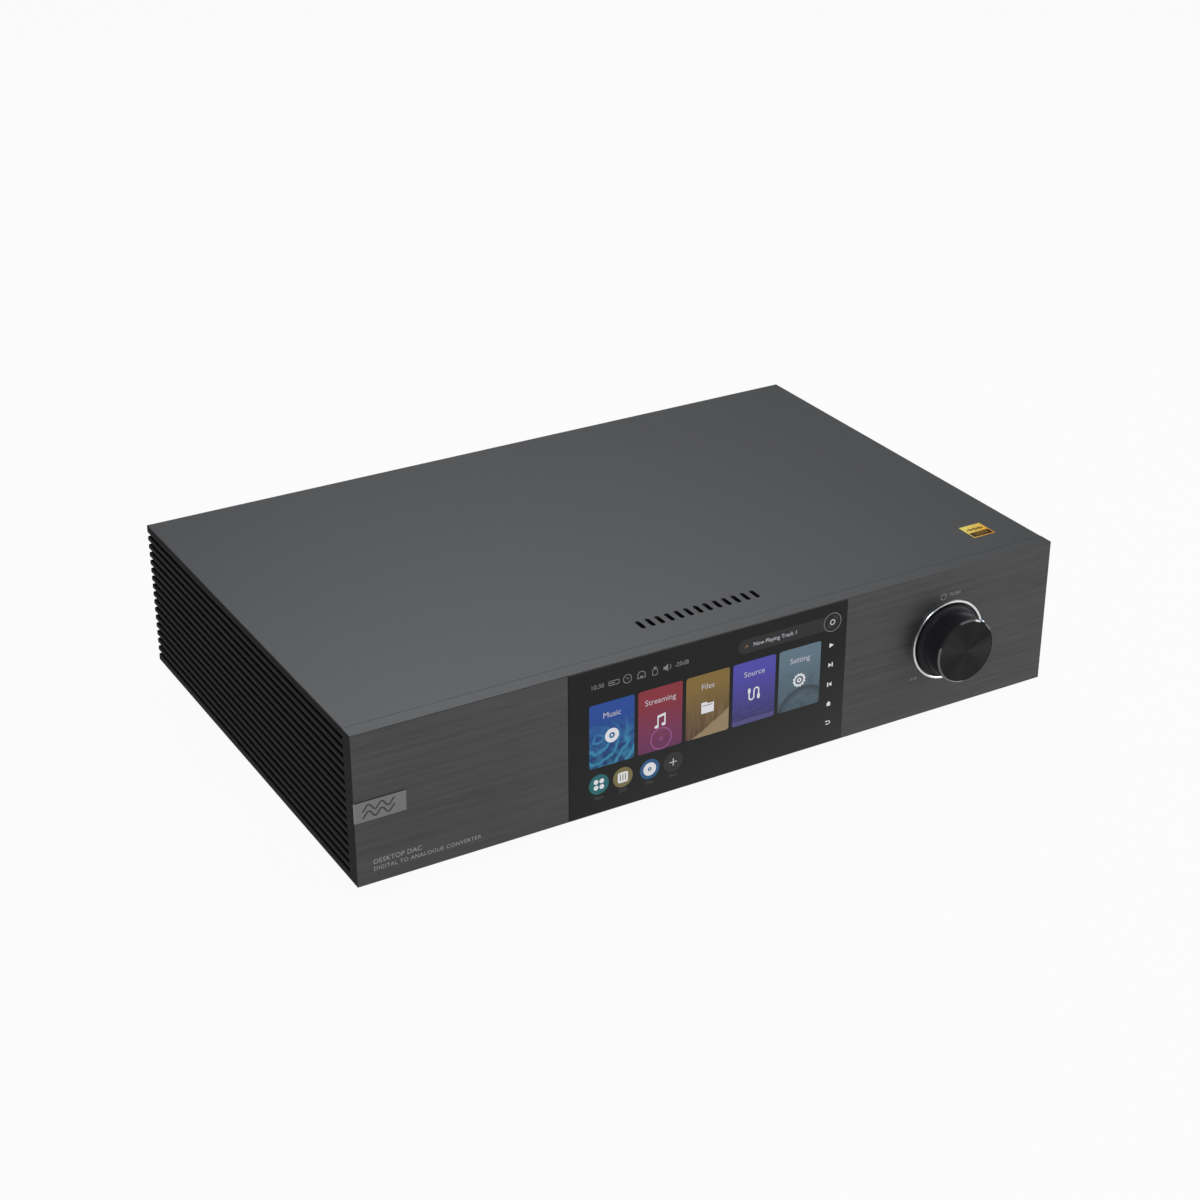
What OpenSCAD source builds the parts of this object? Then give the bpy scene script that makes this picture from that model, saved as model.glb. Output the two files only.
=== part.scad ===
// Desktop digital-to-analogue converter and network player: a low aluminium case with finned
// side extrusions, a touch display and one push-and-turn volume knob on the front, and the
// audio, digital and mains connectors on the back.
// Frame: +X to the right seen from the front, +Y from front to back, +Z up, millimetres.
// Origin: middle of the bounding box in X and Y, at the level of the surface it stands on.

/* [Case] */
// Width over the two side extrusions
case_w = 388; // [380:1:400]
// Depth from the front face to the rear ends of the side extrusions
case_d = 248; // [240:1:260]
// Height of the case without its feet
case_h = 78; // [78:1:80]
// Clear height under the case
foot_h = 12; // [11:1:14]
// Thickness of the front panel
front_t = 8.2; // [8:0.1:9]
// Thickness of the top cover
cover_t = 3; // [2.5:0.5:3]
// Thickness of the base plate
base_t = 1.5; // [1.2:0.1:1.5]
// Thickness of the rear panel
rear_t = 2; // [1.5:0.5:2]
// How far the rear panel sits inside the ends of the side extrusions
rear_recess = 1.5; // [1:0.5:2]

/* [Side extrusions] */
// Thickness of each side extrusion, fins included
side_t = 9; // [8:0.5:10]
// Number of grooves down each side
groove_count = 16; // [12:1:16]
// Distance from one groove to the next
groove_pitch = 4.55; // [4.4:0.05:4.55]
// Width of a groove
groove_w = 1.9; // [1.6:0.1:2.2]
// Depth of a groove
groove_deep = 4; // [3:0.5:4.5]
// Height of the lowest groove's middle above the case bottom
groove_first = 4.45; // [4:0.05:4.45]

/* [Display] */
// Left edge of the cover glass, from the middle of the case
glass_left = -86; // [-90:1:-80]
// Width of the cover glass
glass_w = 154.5; // [150:0.5:156]
// Metal lip above and below the glass
glass_lip = 0.5; // [0.4:0.1:1]
// Thickness of the cover glass
glass_t = 1.1; // [0.8:0.1:1.2]

/* [Knob] */
// Distance of the knob's axis from the middle of the case
knob_x = 131.5; // [125:0.5:140]
// Diameter of the knob's drum
knob_d = 34; // [32:0.5:35]
// How far the knob stands out of the front panel
knob_reach = 15.2; // [14:0.1:18]
// Travel of the knob when it is pushed
push_travel = 0.8; // [0.4:0.1:0.8]
// Outer diameter of the bright trim ring
ring_d = 42.8; // [42:0.2:46]

/* [Feet] */
// Diameter of a foot
foot_d = 40; // [34:1:44]
// Distance from a foot's middle to the case's side
foot_inset_x = 42; // [40:1:60]
// Distance from a foot's middle to the case's front and back
foot_inset_y = 42; // [40:1:60]

/* [Hidden] */
$fn = 64;

// Levels and faces of the case
rca_reach = 9.5;
rear_reach = rca_reach - rear_recess;
front_y = knob_reach - (case_d + knob_reach + rear_reach) / 2;
back_y = front_y + case_d;
inner_front_y = front_y + front_t;
rear_face_y = back_y - rear_recess;
inner_rear_y = rear_face_y - rear_t;
case_z = foot_h;
top_z = case_z + case_h;
mid_z = case_z + case_h / 2;
floor_z = case_z + base_t;
ceiling_z = top_z - cover_t;
inner_x = case_w / 2 - side_t;
half_w = case_w / 2;

// Fits and edges
gap = 0.2;
edge = 0.25;
fin_edge = 0.4;
thread_gap = 0.05;
eps = 0.01;
m3_r = 1.5;
m3_head_r = 2.9;
m3_head_h = 1.8;
m4_r = 2;

// Screw bosses that run along the side extrusions
boss = 8;

// Circuit boards
pcb_t = 1.6;
standoff_h = 6;
pcb_z = floor_z + standoff_h;
pcb_top = pcb_z + pcb_t;

// Rear connector places, in the row frame
xlr_rows = [case_z + 20, case_z + 56];
xlr_output_x = 158;
xlr_input_x = 72;
rca_rows = [case_z + 24, case_z + 52];
rca_output_x = 128;
rca_input_x = 106;
coax_row = case_z + 52;
coax_columns = [42, 24, 6];
optical_columns = [42, 24];
usb_b_x = 4;
hdmi_x = -16;
usb_a_columns = [-38, -56];
ethernet_x = -78;
trigger_columns = [-20, -36];
antenna_columns = [-60, -92];
inlet_x = -150;
inlet_z = mid_z - 0.5;
cover_tab_columns = [89, -8, -122];
cover_tab_z = ceiling_z - 5;
vent_columns = [for (i = [0:5]) -104 - 5 * i];

// Places of the main inner assemblies
transformer_x = -118;
transformer_y = front_y + 66;
power_board_box = [[-176, inner_rear_y - 108], [-100, inner_rear_y - 34]];
main_board_box = [[-92, inner_rear_y - 118], [52, inner_rear_y]];
dac_board_box = [[60, inner_rear_y - 122], [174, inner_rear_y - 36]];

// ---------- placing helpers ----------

// Children stand on the front face: their +Z points out of it and their +Y points up.
module on_front(x, z) {
    translate([x, front_y, z]) rotate([90, 0, 0]) children();
}

// Children stand on the rear panel's outer face: +Z points out of it and +Y points up.
module on_rear(x, z) {
    translate([x, rear_face_y, z]) rotate([90, 0, 180]) children();
}

module mirrored_x() {
    children();
    mirror([1, 0, 0]) children();
}

// A box from a low corner to a high corner.
module block(low, high) {
    translate(low) cube(high - low);
}

module rounded_rect(w, h, r) {
    square([w - 2 * r, h], center = true);
    square([w, h - 2 * r], center = true);
    for (x = [-1, 1], y = [-1, 1])
        translate([x * (w / 2 - r), y * (h / 2 - r)]) circle(r);
}

// A hole or shaft along +Z from a to b.
module rod(r, a, b) {
    translate([0, 0, a]) cylinder(r = r, h = b - a);
}

// A pan-head screw: its head rests on z = 0 and its shank goes down.
module pan_screw(r, length, head_r, head_h) {
    difference() {
        union() {
            rod(r, -length, eps);
            rod(head_r, 0, head_h);
        }
        drive_r = r * 0.75;
        translate([0, 0, head_h / 2]) cylinder(r = drive_r, h = head_h, $fn = 6);
    }
}

// ---------- swept wires ----------

function unit(v) = v / norm(v);
function wire_tangent(p, i) =
    unit(i == 0 ? p[1] - p[0] : i == len(p) - 1 ? p[i] - p[i - 1] : p[i + 1] - p[i - 1]);
function wire_side(t) = unit(cross(t, abs(t[2]) < 0.9 ? [0, 0, 1] : [0, 1, 0]));
function wire_ring(p, i, r, sides) =
    let (t = wire_tangent(p, i), u = wire_side(t), v = cross(t, u))
    [for (k = [0:sides - 1]) p[i] + r * (cos(360 * k / sides) * u + sin(360 * k / sides) * v)];

// A wire of radius r that follows the points p.
module wire(p, r, sides = 8) {
    n = len(p);
    rings = [for (i = [0:n - 1]) each wire_ring(p, i, r, sides)];
    walls = [for (i = [0:n - 2], k = [0:sides - 1])
        let (a = i * sides + k, b = i * sides + (k + 1) % sides)
        each [[a, b, b + sides], [a, b + sides, a + sides]]];
    polyhedron(rings, concat(
        [[for (k = [0:sides - 1]) sides - 1 - k]],
        walls,
        [[for (k = [0:sides - 1]) (n - 1) * sides + k]]));
}

// ---------- case ----------

// The slab from y0 to y1 and z0 to z1 over the full width, its edges broken at the stated faces.
module top_slab(y0, y1, z0, z1) {
    intersection() {
        translate([-half_w, 0, 0]) rotate([90, 0, 90]) linear_extrude(case_w)
            polygon([[y0, z0], [y1, z0], [y1, z1 - edge], [y1 - edge, z1], [y0, z1]]);
        translate([0, y1, 0]) rotate([90, 0, 0]) linear_extrude(y1 - y0)
            polygon([[-half_w, z0], [half_w, z0], [half_w, z1 - edge], [half_w - edge, z1],
                     [-half_w + edge, z1], [-half_w, z1 - edge]]);
    }
}

// A row of round-ended slots pierced in the top cover, which let warm air out.
module cover_slots() {
    slot_w = 2.4;
    slot_len = 8;
    slot_y = front_y + 26.5;
    slot_count = 13;
    slot_pitch = 5.35;
    for (i = [0:slot_count - 1]) translate([(i - (slot_count - 1) / 2) * slot_pitch, slot_y, 0])
        linear_extrude(top_z + 1) {
            square([slot_w, slot_len - slot_w], center = true);
            for (s = [-1, 1]) translate([0, s * (slot_len - slot_w) / 2]) circle(slot_w / 2);
        }
}

module top_cover() {
    tongue = [340, 2.4, 1.4];
    tab_w = 12;
    tab_h = 10;
    color("dimgray") difference() {
        union() {
            top_slab(inner_front_y + gap, back_y, ceiling_z, top_z);
            translate([-tongue[0] / 2, inner_front_y - tongue[1], ceiling_z - tongue[2]])
                cube([tongue[0], tongue[1] + 8, tongue[2] + eps]);
            for (x = cover_tab_columns)
                block([x - tab_w / 2, inner_rear_y - 2, ceiling_z - tab_h],
                      [x + tab_w / 2, inner_rear_y, ceiling_z + eps]);
        }
        cover_slots();
        for (x = cover_tab_columns)
            translate([x, inner_rear_y, cover_tab_z]) rotate([90, 0, 0])
                rod(m3_r + thread_gap, -1, 4);
        foil_recess();
    }
}

// A shallow seat that keeps the foil label flush with the cover.
foil_size = 13.2;
foil_t = 0.2;
foil_x = 170;
foil_y = front_y + 29.6;

module foil_recess() {
    translate([foil_x - foil_size / 2, foil_y - foil_size / 2, top_z - foil_t])
        cube([foil_size, foil_size, foil_t + 1]);
}

module foil_label() {
    color("gold") translate([foil_x, foil_y, top_z - foil_t]) linear_extrude(foil_t)
        square(foil_size - 2 * eps, center = true);
}

module front_slab() {
    y0 = front_y;
    y1 = inner_front_y;
    intersection() {
        translate([-half_w, 0, 0]) rotate([90, 0, 90]) linear_extrude(case_w)
            polygon([[y0 + edge, case_z], [y1, case_z], [y1, top_z], [y0 + edge, top_z],
                     [y0, top_z - edge], [y0, case_z + edge]]);
        translate([0, 0, case_z]) linear_extrude(case_h)
            polygon([[-half_w + edge, y0], [half_w - edge, y0], [half_w, y0 + edge],
                     [half_w, y1], [-half_w, y1], [-half_w, y0 + edge]]);
    }
}

glass_mid_x = glass_left + glass_w / 2;
glass_h = case_h - 2 * glass_lip;
lcd_w = 150;
lcd_h = 68;
lcd_t = 5;
knob_recess = 0.8;
web_t = 2.5;
bush_r = 4.5;
encoder_pocket_r = 16;
front_screw_columns = [-165, -130, -95, 85, 165];
front_screw_z = floor_z + 6;
bracket_screw_z = mid_z + 22;
light_angle = 10.5;
light_r = 0.8;
light_at = [(ring_d / 2 + light_r) * cos(light_angle), (ring_d / 2 + light_r) * sin(light_angle)];

module front_panel() {
    screw_deep = 5;
    tongue_slot = [342, 2.8, 1.8];
    color("dimgray") difference() {
        front_slab();
        // pocket for the cover glass and window for the display module
        on_front(glass_mid_x, mid_z) {
            translate([0, 0, -glass_t - 0.1]) linear_extrude(glass_t + 1)
                square([glass_w, glass_h], center = true);
            translate([0, 0, -front_t - 1]) linear_extrude(front_t + 1)
                square([lcd_w + 2 * gap, lcd_h + 2 * gap], center = true);
        }
        // recess, bush hole and rear pocket on the knob's axis, and the light's hole
        on_front(knob_x, mid_z) {
            rod(ring_d / 2, -knob_recess, 1);
            rod(bush_r + 0.1, -front_t - 1, 1);
            rod(encoder_pocket_r, -front_t - 1, -knob_recess - web_t);
            translate([light_at[0], light_at[1], 0]) rod(light_r + thread_gap, -3, 1);
            translate([light_at[0], light_at[1], 0]) rod(light_r + 0.4, -front_t - 1, -3);
        }
        // slot in the back face for the cover's tongue
        translate([-tongue_slot[0] / 2, inner_front_y - tongue_slot[1], ceiling_z - tongue_slot[2]])
            cube([tongue_slot[0], tongue_slot[1] + 1, tongue_slot[2] + gap]);
        // threaded holes in the back face for the base plate's flange and the corner brackets
        for (x = front_screw_columns) front_thread(x, front_screw_z, screw_deep);
        for (s = [-1, 1]) front_thread(s * (inner_x - 10), bracket_screw_z, screw_deep);
        // broken edges beside the glass
        translate([glass_mid_x, 0, mid_z - glass_h / 2]) mirrored_x() linear_extrude(glass_h)
            polygon([[-glass_w / 2 - edge, front_y], [-glass_w / 2 - edge, front_y - 1],
                     [-glass_w / 2 + 1, front_y - 1], [-glass_w / 2, front_y + edge]]);
        // seat of the badge plate, open at the panel's side
        on_front(-half_w + badge_w / 2 - 1, badge_z) translate([0, 0, -badge_seat])
            linear_extrude(badge_t + 1) square([badge_w + 2, badge_h], center = true);
    }
}

module front_thread(x, z, deep) {
    translate([x, inner_front_y + 1, z]) rotate([90, 0, 0]) rod(m3_r + thread_gap, 0, deep + 1);
}

badge_w = 25.2;
badge_h = 10.2;
badge_t = 1;
badge_seat = 0.6;
badge_z = case_z + 38.6;

module badge_plate() {
    color("silver") on_front(-half_w + badge_w / 2, badge_z)
        translate([0, 0, -badge_seat]) linear_extrude(badge_t)
            square([badge_w - eps, badge_h - 2 * eps], center = true);
}

// Outline of the left extrusion's wall: x against height above the case bottom.
function groove_edge(k) =
    let (z = groove_first + k * groove_pitch, low = z - groove_w / 2, high = z + groove_w / 2,
         x = -half_w, deep = x + groove_deep)
    [[x, low - fin_edge], [x + fin_edge, low], [deep, low], [deep, high], [x + fin_edge, high],
     [x, high + fin_edge]];

side_h = case_h - cover_t;
side_outline = concat(
    [[-inner_x, 0], [-half_w, 0]],
    [for (k = [0:groove_count - 1]) each groove_edge(k)],
    [[-half_w, side_h], [-inner_x, side_h]]);

side_y0 = inner_front_y + gap / 2;
base_screw_rows = [inner_front_y + 20, (front_y + back_y) / 2, inner_rear_y - 20];
boss_low_z = floor_z + boss / 2;
boss_high_z = ceiling_z - boss / 2;
boss_x = inner_x - boss / 2;

module side_panel() {
    color([0.13, 0.13, 0.13]) difference() {
        union() {
            translate([0, back_y, case_z]) rotate([90, 0, 0])
                linear_extrude(back_y - side_y0) polygon(side_outline);
            for (z = [floor_z, ceiling_z - boss])
                block([-inner_x - eps, side_y0, z], [-inner_x + boss, inner_rear_y, z + boss]);
        }
        for (z = [boss_low_z, boss_high_z])
            translate([-boss_x, inner_rear_y + 1, z]) rotate([90, 0, 0])
                rod(m3_r + thread_gap, 0, 13);
        for (y = base_screw_rows)
            translate([-boss_x, y, floor_z]) rod(m3_r + thread_gap, -1, 6.5);
        for (z = corner_screw_rows)
            translate([-inner_x + eps, inner_front_y + corner_arm / 2, z]) rotate([0, -90, 0])
                rod(m3_r + thread_gap, -1, 4);
    }
}

module side_panel_left() { side_panel(); }

module side_panel_right() { mirror([1, 0, 0]) side_panel(); }

// L-shaped brackets that tie the front panel to the side extrusions.
corner_arm = 20;
corner_t = 2;
corner_screw_rows = [mid_z - 14, mid_z + 14];

module corner_brackets() {
    low = boss_low_z + boss / 2 + 4;
    high = boss_high_z - boss / 2 - 4;
    color("silver") mirrored_x() difference() {
        union() {
            block([-inner_x, inner_front_y, low], [-inner_x + corner_t, inner_front_y + corner_arm, high]);
            block([-inner_x, inner_front_y, low], [-inner_x + corner_arm, inner_front_y + corner_t, high]);
        }
        for (z = corner_screw_rows)
            translate([-inner_x - 1, inner_front_y + corner_arm / 2, z]) rotate([0, 90, 0])
                rod(m3_r + gap, 0, 5);
        translate([-inner_x + 10, inner_front_y + 5, bracket_screw_z]) rotate([90, 0, 0])
            rod(m3_r + gap, 0, 6);
    }
}

hatch_x = -20;
hatch_y = inner_rear_y - 70;
hatch_size = [96, 34];
hatch_open = [86, 24];
hatch_t = 1;
hatch_screw_x = hatch_size[0] / 2 - 2.6;

// Foot centres.
foot_at = [for (x = [-1, 1], y = [front_y + foot_inset_y, back_y - foot_inset_y])
    [x * (half_w - foot_inset_x), y]];

// Slots under the boards let cool air in.
module base_vents(x, y, columns, rows) {
    slot = [3, 18];
    pitch = [7, 24];
    for (i = [0:columns - 1], j = [0:rows - 1])
        translate([x + (i - (columns - 1) / 2) * pitch[0], y + (j - (rows - 1) / 2) * pitch[1], 0])
            linear_extrude(floor_z + 1) {
                square([slot[0], slot[1] - slot[0]], center = true);
                for (s = [-1, 1]) translate([0, s * (slot[1] - slot[0]) / 2]) circle(slot[0] / 2);
            }
}

board_posts = [
    for (b = [power_board_box, main_board_box, dac_board_box], i = [0, 1], j = [0, 1])
        [b[i][0] + (i == 0 ? 5 : -5), b[j][1] + (j == 0 ? 5 : (b == main_board_box ? -24 : -5))]
];

module base_plate() {
    flange_h = 12;
    nut_r = 4;
    nut_h = 3;
    color("darkslategray") difference() {
        union() {
            block([-inner_x + gap, inner_front_y, case_z], [inner_x - gap, rear_face_y, floor_z]);
            block([-170, inner_front_y, case_z], [170, inner_front_y + base_t, floor_z + flange_h]);
            for (p = foot_at) translate(p) rod(nut_r, floor_z - eps, floor_z + nut_h);
            translate([transformer_x, transformer_y]) rod(nut_r + 2, floor_z - eps, floor_z + nut_h);
        }
        for (p = foot_at) translate(p) rod(m4_r + thread_gap, 0, floor_z + nut_h + 1);
        translate([transformer_x, transformer_y]) rod(m4_r + thread_gap, 0, floor_z + nut_h + 1);
        for (s = [-1, 1], y = base_screw_rows) translate([s * boss_x, y]) rod(m3_r + gap, 0, floor_z + 1);
        for (x = rear_flange_screws) translate([x, inner_rear_y - 6]) rod(m3_r + gap, 0, floor_z + 1);
        for (x = front_screw_columns) translate([x, inner_front_y + 5, front_screw_z])
            rotate([90, 0, 0]) rod(m3_r + gap, 0, 6);
        for (p = board_posts) translate(p) rod(m3_r + thread_gap, 0, floor_z + 1);
        translate([hatch_x, hatch_y, 0]) {
            linear_extrude(floor_z + 1) square(hatch_open, center = true);
            for (s = [-1, 1]) translate([s * hatch_screw_x, 0]) rod(m3_r + thread_gap, 0, floor_z + 1);
        }
        base_vents(115, inner_rear_y - 80, 9, 2);
        base_vents(-20, front_y + 52, 13, 1);
        base_vents(-138, inner_rear_y - 86, 5, 1);
    }
}

module storage_hatch() {
    color("black") translate([hatch_x, hatch_y, case_z - hatch_t]) difference() {
        linear_extrude(hatch_t) rounded_rect(hatch_size[0], hatch_size[1], 3);
        for (s = [-1, 1]) translate([s * hatch_screw_x, 0]) rod(m3_r + gap, -1, 3);
    }
}

rear_flange_screws = [-110, 0, 66, 118];

module rear_panel() {
    flange_d = 12;
    half = inner_x - gap;
    color([0.1, 0.1, 0.1]) difference() {
        union() {
            block([-half, inner_rear_y, floor_z], [half, rear_face_y, ceiling_z]);
            for (x = rear_flange_screws)
                block([x - 7, inner_rear_y - flange_d, floor_z],
                      [x + 7, inner_rear_y + eps, floor_z + rear_t]);
        }
        for (x = rear_flange_screws)
            translate([x, inner_rear_y - 6]) rod(m3_r + thread_gap, 0, floor_z + rear_t + 1);
        rear_holes();
    }
}

module rear_cut() {
    translate([0, 0, -rear_t - 1]) linear_extrude(rear_t + 2) children();
}

module rear_holes() {
    for (z = xlr_rows, x = [xlr_output_x, xlr_input_x]) on_rear(x, z) {
        rear_cut() circle(xlr_body_r + 0.1);
        for (p = xlr_screws) rear_cut() translate(p) circle(m3_r + gap);
    }
    for (z = xlr_rows) on_rear(xlr_input_x, z) rear_cut() translate([0, latch_y])
        square(latch_size + [2.6, 2.6], center = true);
    for (p = rca_places) on_rear(p[0], p[1]) rear_cut() circle(rca_thread_r + 0.1);
    for (x = optical_columns) on_rear(x, optical_z) rear_cut() square(optical_size + 0.2, center = true);
    on_rear(usb_b_x, usb_b_z) rear_cut() square([usb_b_size[0] + 0.3, usb_b_size[1] + 0.3], center = true);
    on_rear(hdmi_x, hdmi_z) rear_cut() square([hdmi_size[0] + 0.3, hdmi_size[1] + 0.3], center = true);
    for (x = usb_a_columns) on_rear(x, usb_a_z)
        rear_cut() square([usb_a_size[0] + 0.3, usb_a_size[1] + 0.3], center = true);
    on_rear(ethernet_x, ethernet_z)
        rear_cut() square([ethernet_size[0] + 0.3, ethernet_size[1] + 0.3], center = true);
    for (x = trigger_columns) on_rear(x, coax_row) rear_cut() circle(trigger_thread_r + 0.1);
    for (x = antenna_columns) on_rear(x, coax_row) rear_cut() circle(antenna_body_r + 0.1);
    on_rear(inlet_x, inlet_z) {
        rear_cut() square([inlet_body[0] + 0.3, inlet_body[1] + 0.3], center = true);
    }
    for (x = cover_tab_columns) on_rear(x, cover_tab_z) rear_cut() circle(m3_r + gap);
    for (x = [-boss_x, boss_x], z = [boss_low_z, boss_high_z]) on_rear(x, z) rear_cut() circle(m3_r + gap);
    for (x = vent_columns) on_rear(x, mid_z - 3) rear_cut() {
        square([2, 24], center = true);
        for (s = [-1, 1]) translate([0, s * 12]) circle(1);
    }
}

// ---------- feet and fasteners ----------

pad_r = 15;
pad_seat = 1.5;
foot_pad_drop = 2;

module feet() {
    r = foot_d / 2;
    color("black") for (p = foot_at) translate(p) difference() {
        rotate_extrude() polygon([
            [0, foot_pad_drop], [r - 2.4, foot_pad_drop], [r - 1.6, foot_pad_drop + 0.8],
            [r - 0.6, foot_h - 1.6], [r, foot_h - 1], [r, foot_h], [0, foot_h]]);
        rod(m4_r + gap, 0, foot_h + 1);
        rod(4.6, 0, foot_h - 4);
        rod(pad_r + 0.1, 0, foot_pad_drop + pad_seat);
    }
}

module foot_pads() {
    hole_r = 6;
    color([0.05, 0.05, 0.05]) for (p = foot_at) translate(p) rotate_extrude() polygon([
        [hole_r, 0.4], [hole_r + 0.4, 0], [pad_r - 0.6, 0], [pad_r, 0.6],
        [pad_r, foot_pad_drop + pad_seat], [hole_r, foot_pad_drop + pad_seat]]);
}

module foot_screws() {
    head_h = 2.4;
    color("silver") for (p = foot_at) translate([p[0], p[1], foot_h - 4]) rotate([180, 0, 0])
        pan_screw(m4_r, 4 + base_t + 3, 4, head_h);
}

module rear_screws() {
    color("black") {
        for (x = cover_tab_columns) on_rear(x, cover_tab_z)
            pan_screw(m3_r, rear_t + 2, m3_head_r, m3_head_h);
        for (x = [-boss_x, boss_x], z = [boss_low_z, boss_high_z]) on_rear(x, z)
            pan_screw(m3_r, rear_t + 8, m3_head_r, m3_head_h);
        for (z = xlr_rows, x = [xlr_output_x, xlr_input_x], p = xlr_screws) on_rear(x, z)
            translate([p[0], p[1], xlr_flange_t])
                pan_screw(m3_r, xlr_flange_t + rear_t, m3_head_r - 0.3, m3_head_h - 0.3);
    }
}

module base_screws() {
    color("silver") {
        for (s = [-1, 1], y = base_screw_rows) translate([s * boss_x, y, case_z])
            rotate([180, 0, 0]) pan_screw(m3_r, 6, m3_head_r, m3_head_h);
        for (x = rear_flange_screws) translate([x, inner_rear_y - 6, case_z])
            rotate([180, 0, 0]) pan_screw(m3_r, base_t + rear_t, m3_head_r, m3_head_h);
        for (s = [-1, 1]) translate([hatch_x + s * hatch_screw_x, hatch_y, case_z - hatch_t])
            rotate([180, 0, 0]) pan_screw(m3_r, hatch_t + base_t, m3_head_r - 0.3, m3_head_h);
        for (x = front_screw_columns) translate([x, inner_front_y + base_t, front_screw_z])
            rotate([-90, 0, 0]) pan_screw(m3_r, base_t + 4, m3_head_r, m3_head_h);
        for (s = [-1, 1]) {
            translate([s * (inner_x - 10), inner_front_y + corner_t, bracket_screw_z])
                rotate([-90, 0, 0]) pan_screw(m3_r, corner_t + 4, m3_head_r, m3_head_h);
            for (z = corner_screw_rows)
                translate([s * (inner_x - corner_t), inner_front_y + corner_arm / 2, z])
                    rotate([0, -90 * s, 0]) pan_screw(m3_r, corner_t + 3, m3_head_r, m3_head_h);
        }
    }
}

// ---------- display ----------

module display_glass() {
    color("black") on_front(glass_mid_x, mid_z) translate([0, 0, -glass_t]) linear_extrude(glass_t)
        square([glass_w - 0.1, glass_h - 0.1], center = true);
}

lcd_back = glass_t + 0.1 + lcd_t;

module lcd_module() {
    frame_w = 1.5;
    color("gray") on_front(glass_mid_x, mid_z) difference() {
        translate([0, 0, -lcd_back]) linear_extrude(lcd_t) square([lcd_w, lcd_h], center = true);
        translate([0, 0, -lcd_back + lcd_t - 0.4]) linear_extrude(1)
            square([lcd_w - 2 * frame_w, lcd_h - 2 * frame_w], center = true);
    }
}

display_post = [66, 28];
display_bracket_t = 1.2;
display_board_gap = 4;

module display_bracket() {
    plate = [160, 73.4];
    color("silver") on_front(glass_mid_x, mid_z) difference() {
        union() {
            translate([0, 0, -front_t - display_bracket_t]) linear_extrude(display_bracket_t)
                translate([0, 4]) square([plate[0], plate[1] - 24], center = true);
            for (x = [-1, 1], y = [-1, 1]) translate([x * 60, y * 16 + 4, 0])
                rod(4, -front_t - eps, -lcd_back);
            for (x = [-1, 1], y = [-1, 1]) translate([x * display_post[0], y * 14 + 4, 0])
                rod(3, -front_t - display_bracket_t - display_board_gap, -front_t - eps);
        }
        window = [90, 22];
        translate([0, 4, -front_t - 3]) linear_extrude(6) square(window, center = true);
    }
}

display_board_back = front_t + display_bracket_t + display_board_gap + pcb_t;

module display_board() {
    chips = [[-40, 8, 14, 14], [5, 6, 18, 12], [42, 12, 10, 10], [30, -8, 24, 5]];
    color("darkgreen") on_front(glass_mid_x, mid_z) {
        translate([0, 4, -display_board_back]) linear_extrude(pcb_t)
            square([140, 38], center = true);
        for (c = chips) translate([c[0], c[1] + 2, -display_board_back - 1.2])
            linear_extrude(1.2) square([c[2], c[3]], center = true);
    }
}

// A flat flexible cable from the display board down to the main board's front edge.
module display_ribbon() {
    w = 20;
    t = 0.3;
    y0 = front_y + display_board_back;
    y1 = main_board_box[0][1];
    z0 = mid_z + 2;
    z1 = pcb_top;
    color("white") translate([-30 - w / 2, 0, 0]) rotate([90, 0, 90]) linear_extrude(w) polygon([
        [y0, z0], [y0 + 4, z0], [y0 + 9, z0 - 4], [y1 - 10, z1 + 9], [y1 - 5, z1 + 4], [y1 + 2, z1 + 4],
        [y1 + 2, z1], [y1 + 8, z1], [y1 + 8, z1 + 4 + t], [y1 - 5, z1 + 4 + t],
        [y1 - 10 + t, z1 + 9 + t], [y0 + 9 + t, z0 - 4 + t], [y0 + 4 + t, z0 + t], [y0, z0 + t]]);
}

// ---------- knob and encoder, on the knob's axis: local +Z points out of the front ----------

knob_r = knob_d / 2;
skirt_r = 19.3;
skirt_z = 0.6;
skirt_t = 1;
fillet_r = skirt_r - knob_r;
rim_groove = 0.45;
rim_bevel = 0.8;
face_r = knob_r - rim_bevel - 0.1;
face_t = 1;
shaft_r = 3;
shaft_gap = 0.05;
cavity_z = 6;
hub_r = 6.5;
shaft_tip = 12.5;
encoder_back = 12.5;
shaft_end = 9.5;
plunger_t = 1.4;

// Half section of the knob: radius against distance from the front face.
fillet_arc = [for (a = [0:15:90])
    [skirt_r - fillet_r * sin(a), skirt_z + skirt_t + fillet_r * (1 - cos(a))]];
groove_z = knob_reach - rim_bevel - 0.7;
knob_section = concat(
    [[knob_r - 1.6, skirt_z], [skirt_r, skirt_z]],
    fillet_arc,
    [[knob_r, groove_z - rim_groove], [knob_r - rim_groove, groove_z - rim_groove / 2],
     [knob_r, groove_z], [knob_r, knob_reach - rim_bevel], [knob_r - rim_bevel, knob_reach],
     [face_r + 0.05, knob_reach], [face_r + 0.05, knob_reach - face_t], [0, knob_reach - face_t],
     [0, cavity_z], [hub_r, cavity_z], [hub_r, cavity_z + 3], [knob_r - 2.6, cavity_z + 3]]);

module knob() {
    color([0.08, 0.08, 0.08]) on_front(knob_x, mid_z) difference() {
        rotate_extrude($fn = 96) polygon(knob_section);
        rod(shaft_r + 0.02, 0, shaft_tip + 0.3);
        // radial hole for the set screw, under the drum
        translate([0, 0, set_screw_z]) rotate([90, 0, 0]) rod(m3_r + thread_gap, 0, knob_r + 1);
    }
}

set_screw_z = 10.8;

module knob_set_screw() {
    color("black") on_front(knob_x, mid_z) translate([0, 0, set_screw_z]) rotate([90, 0, 0])
        difference() {
            rod(m3_r, shaft_r + 0.02, hub_r + 3);
            translate([0, 0, hub_r + 1.6]) cylinder(r = 0.8, h = 2, $fn = 6);
        }
}

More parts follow.
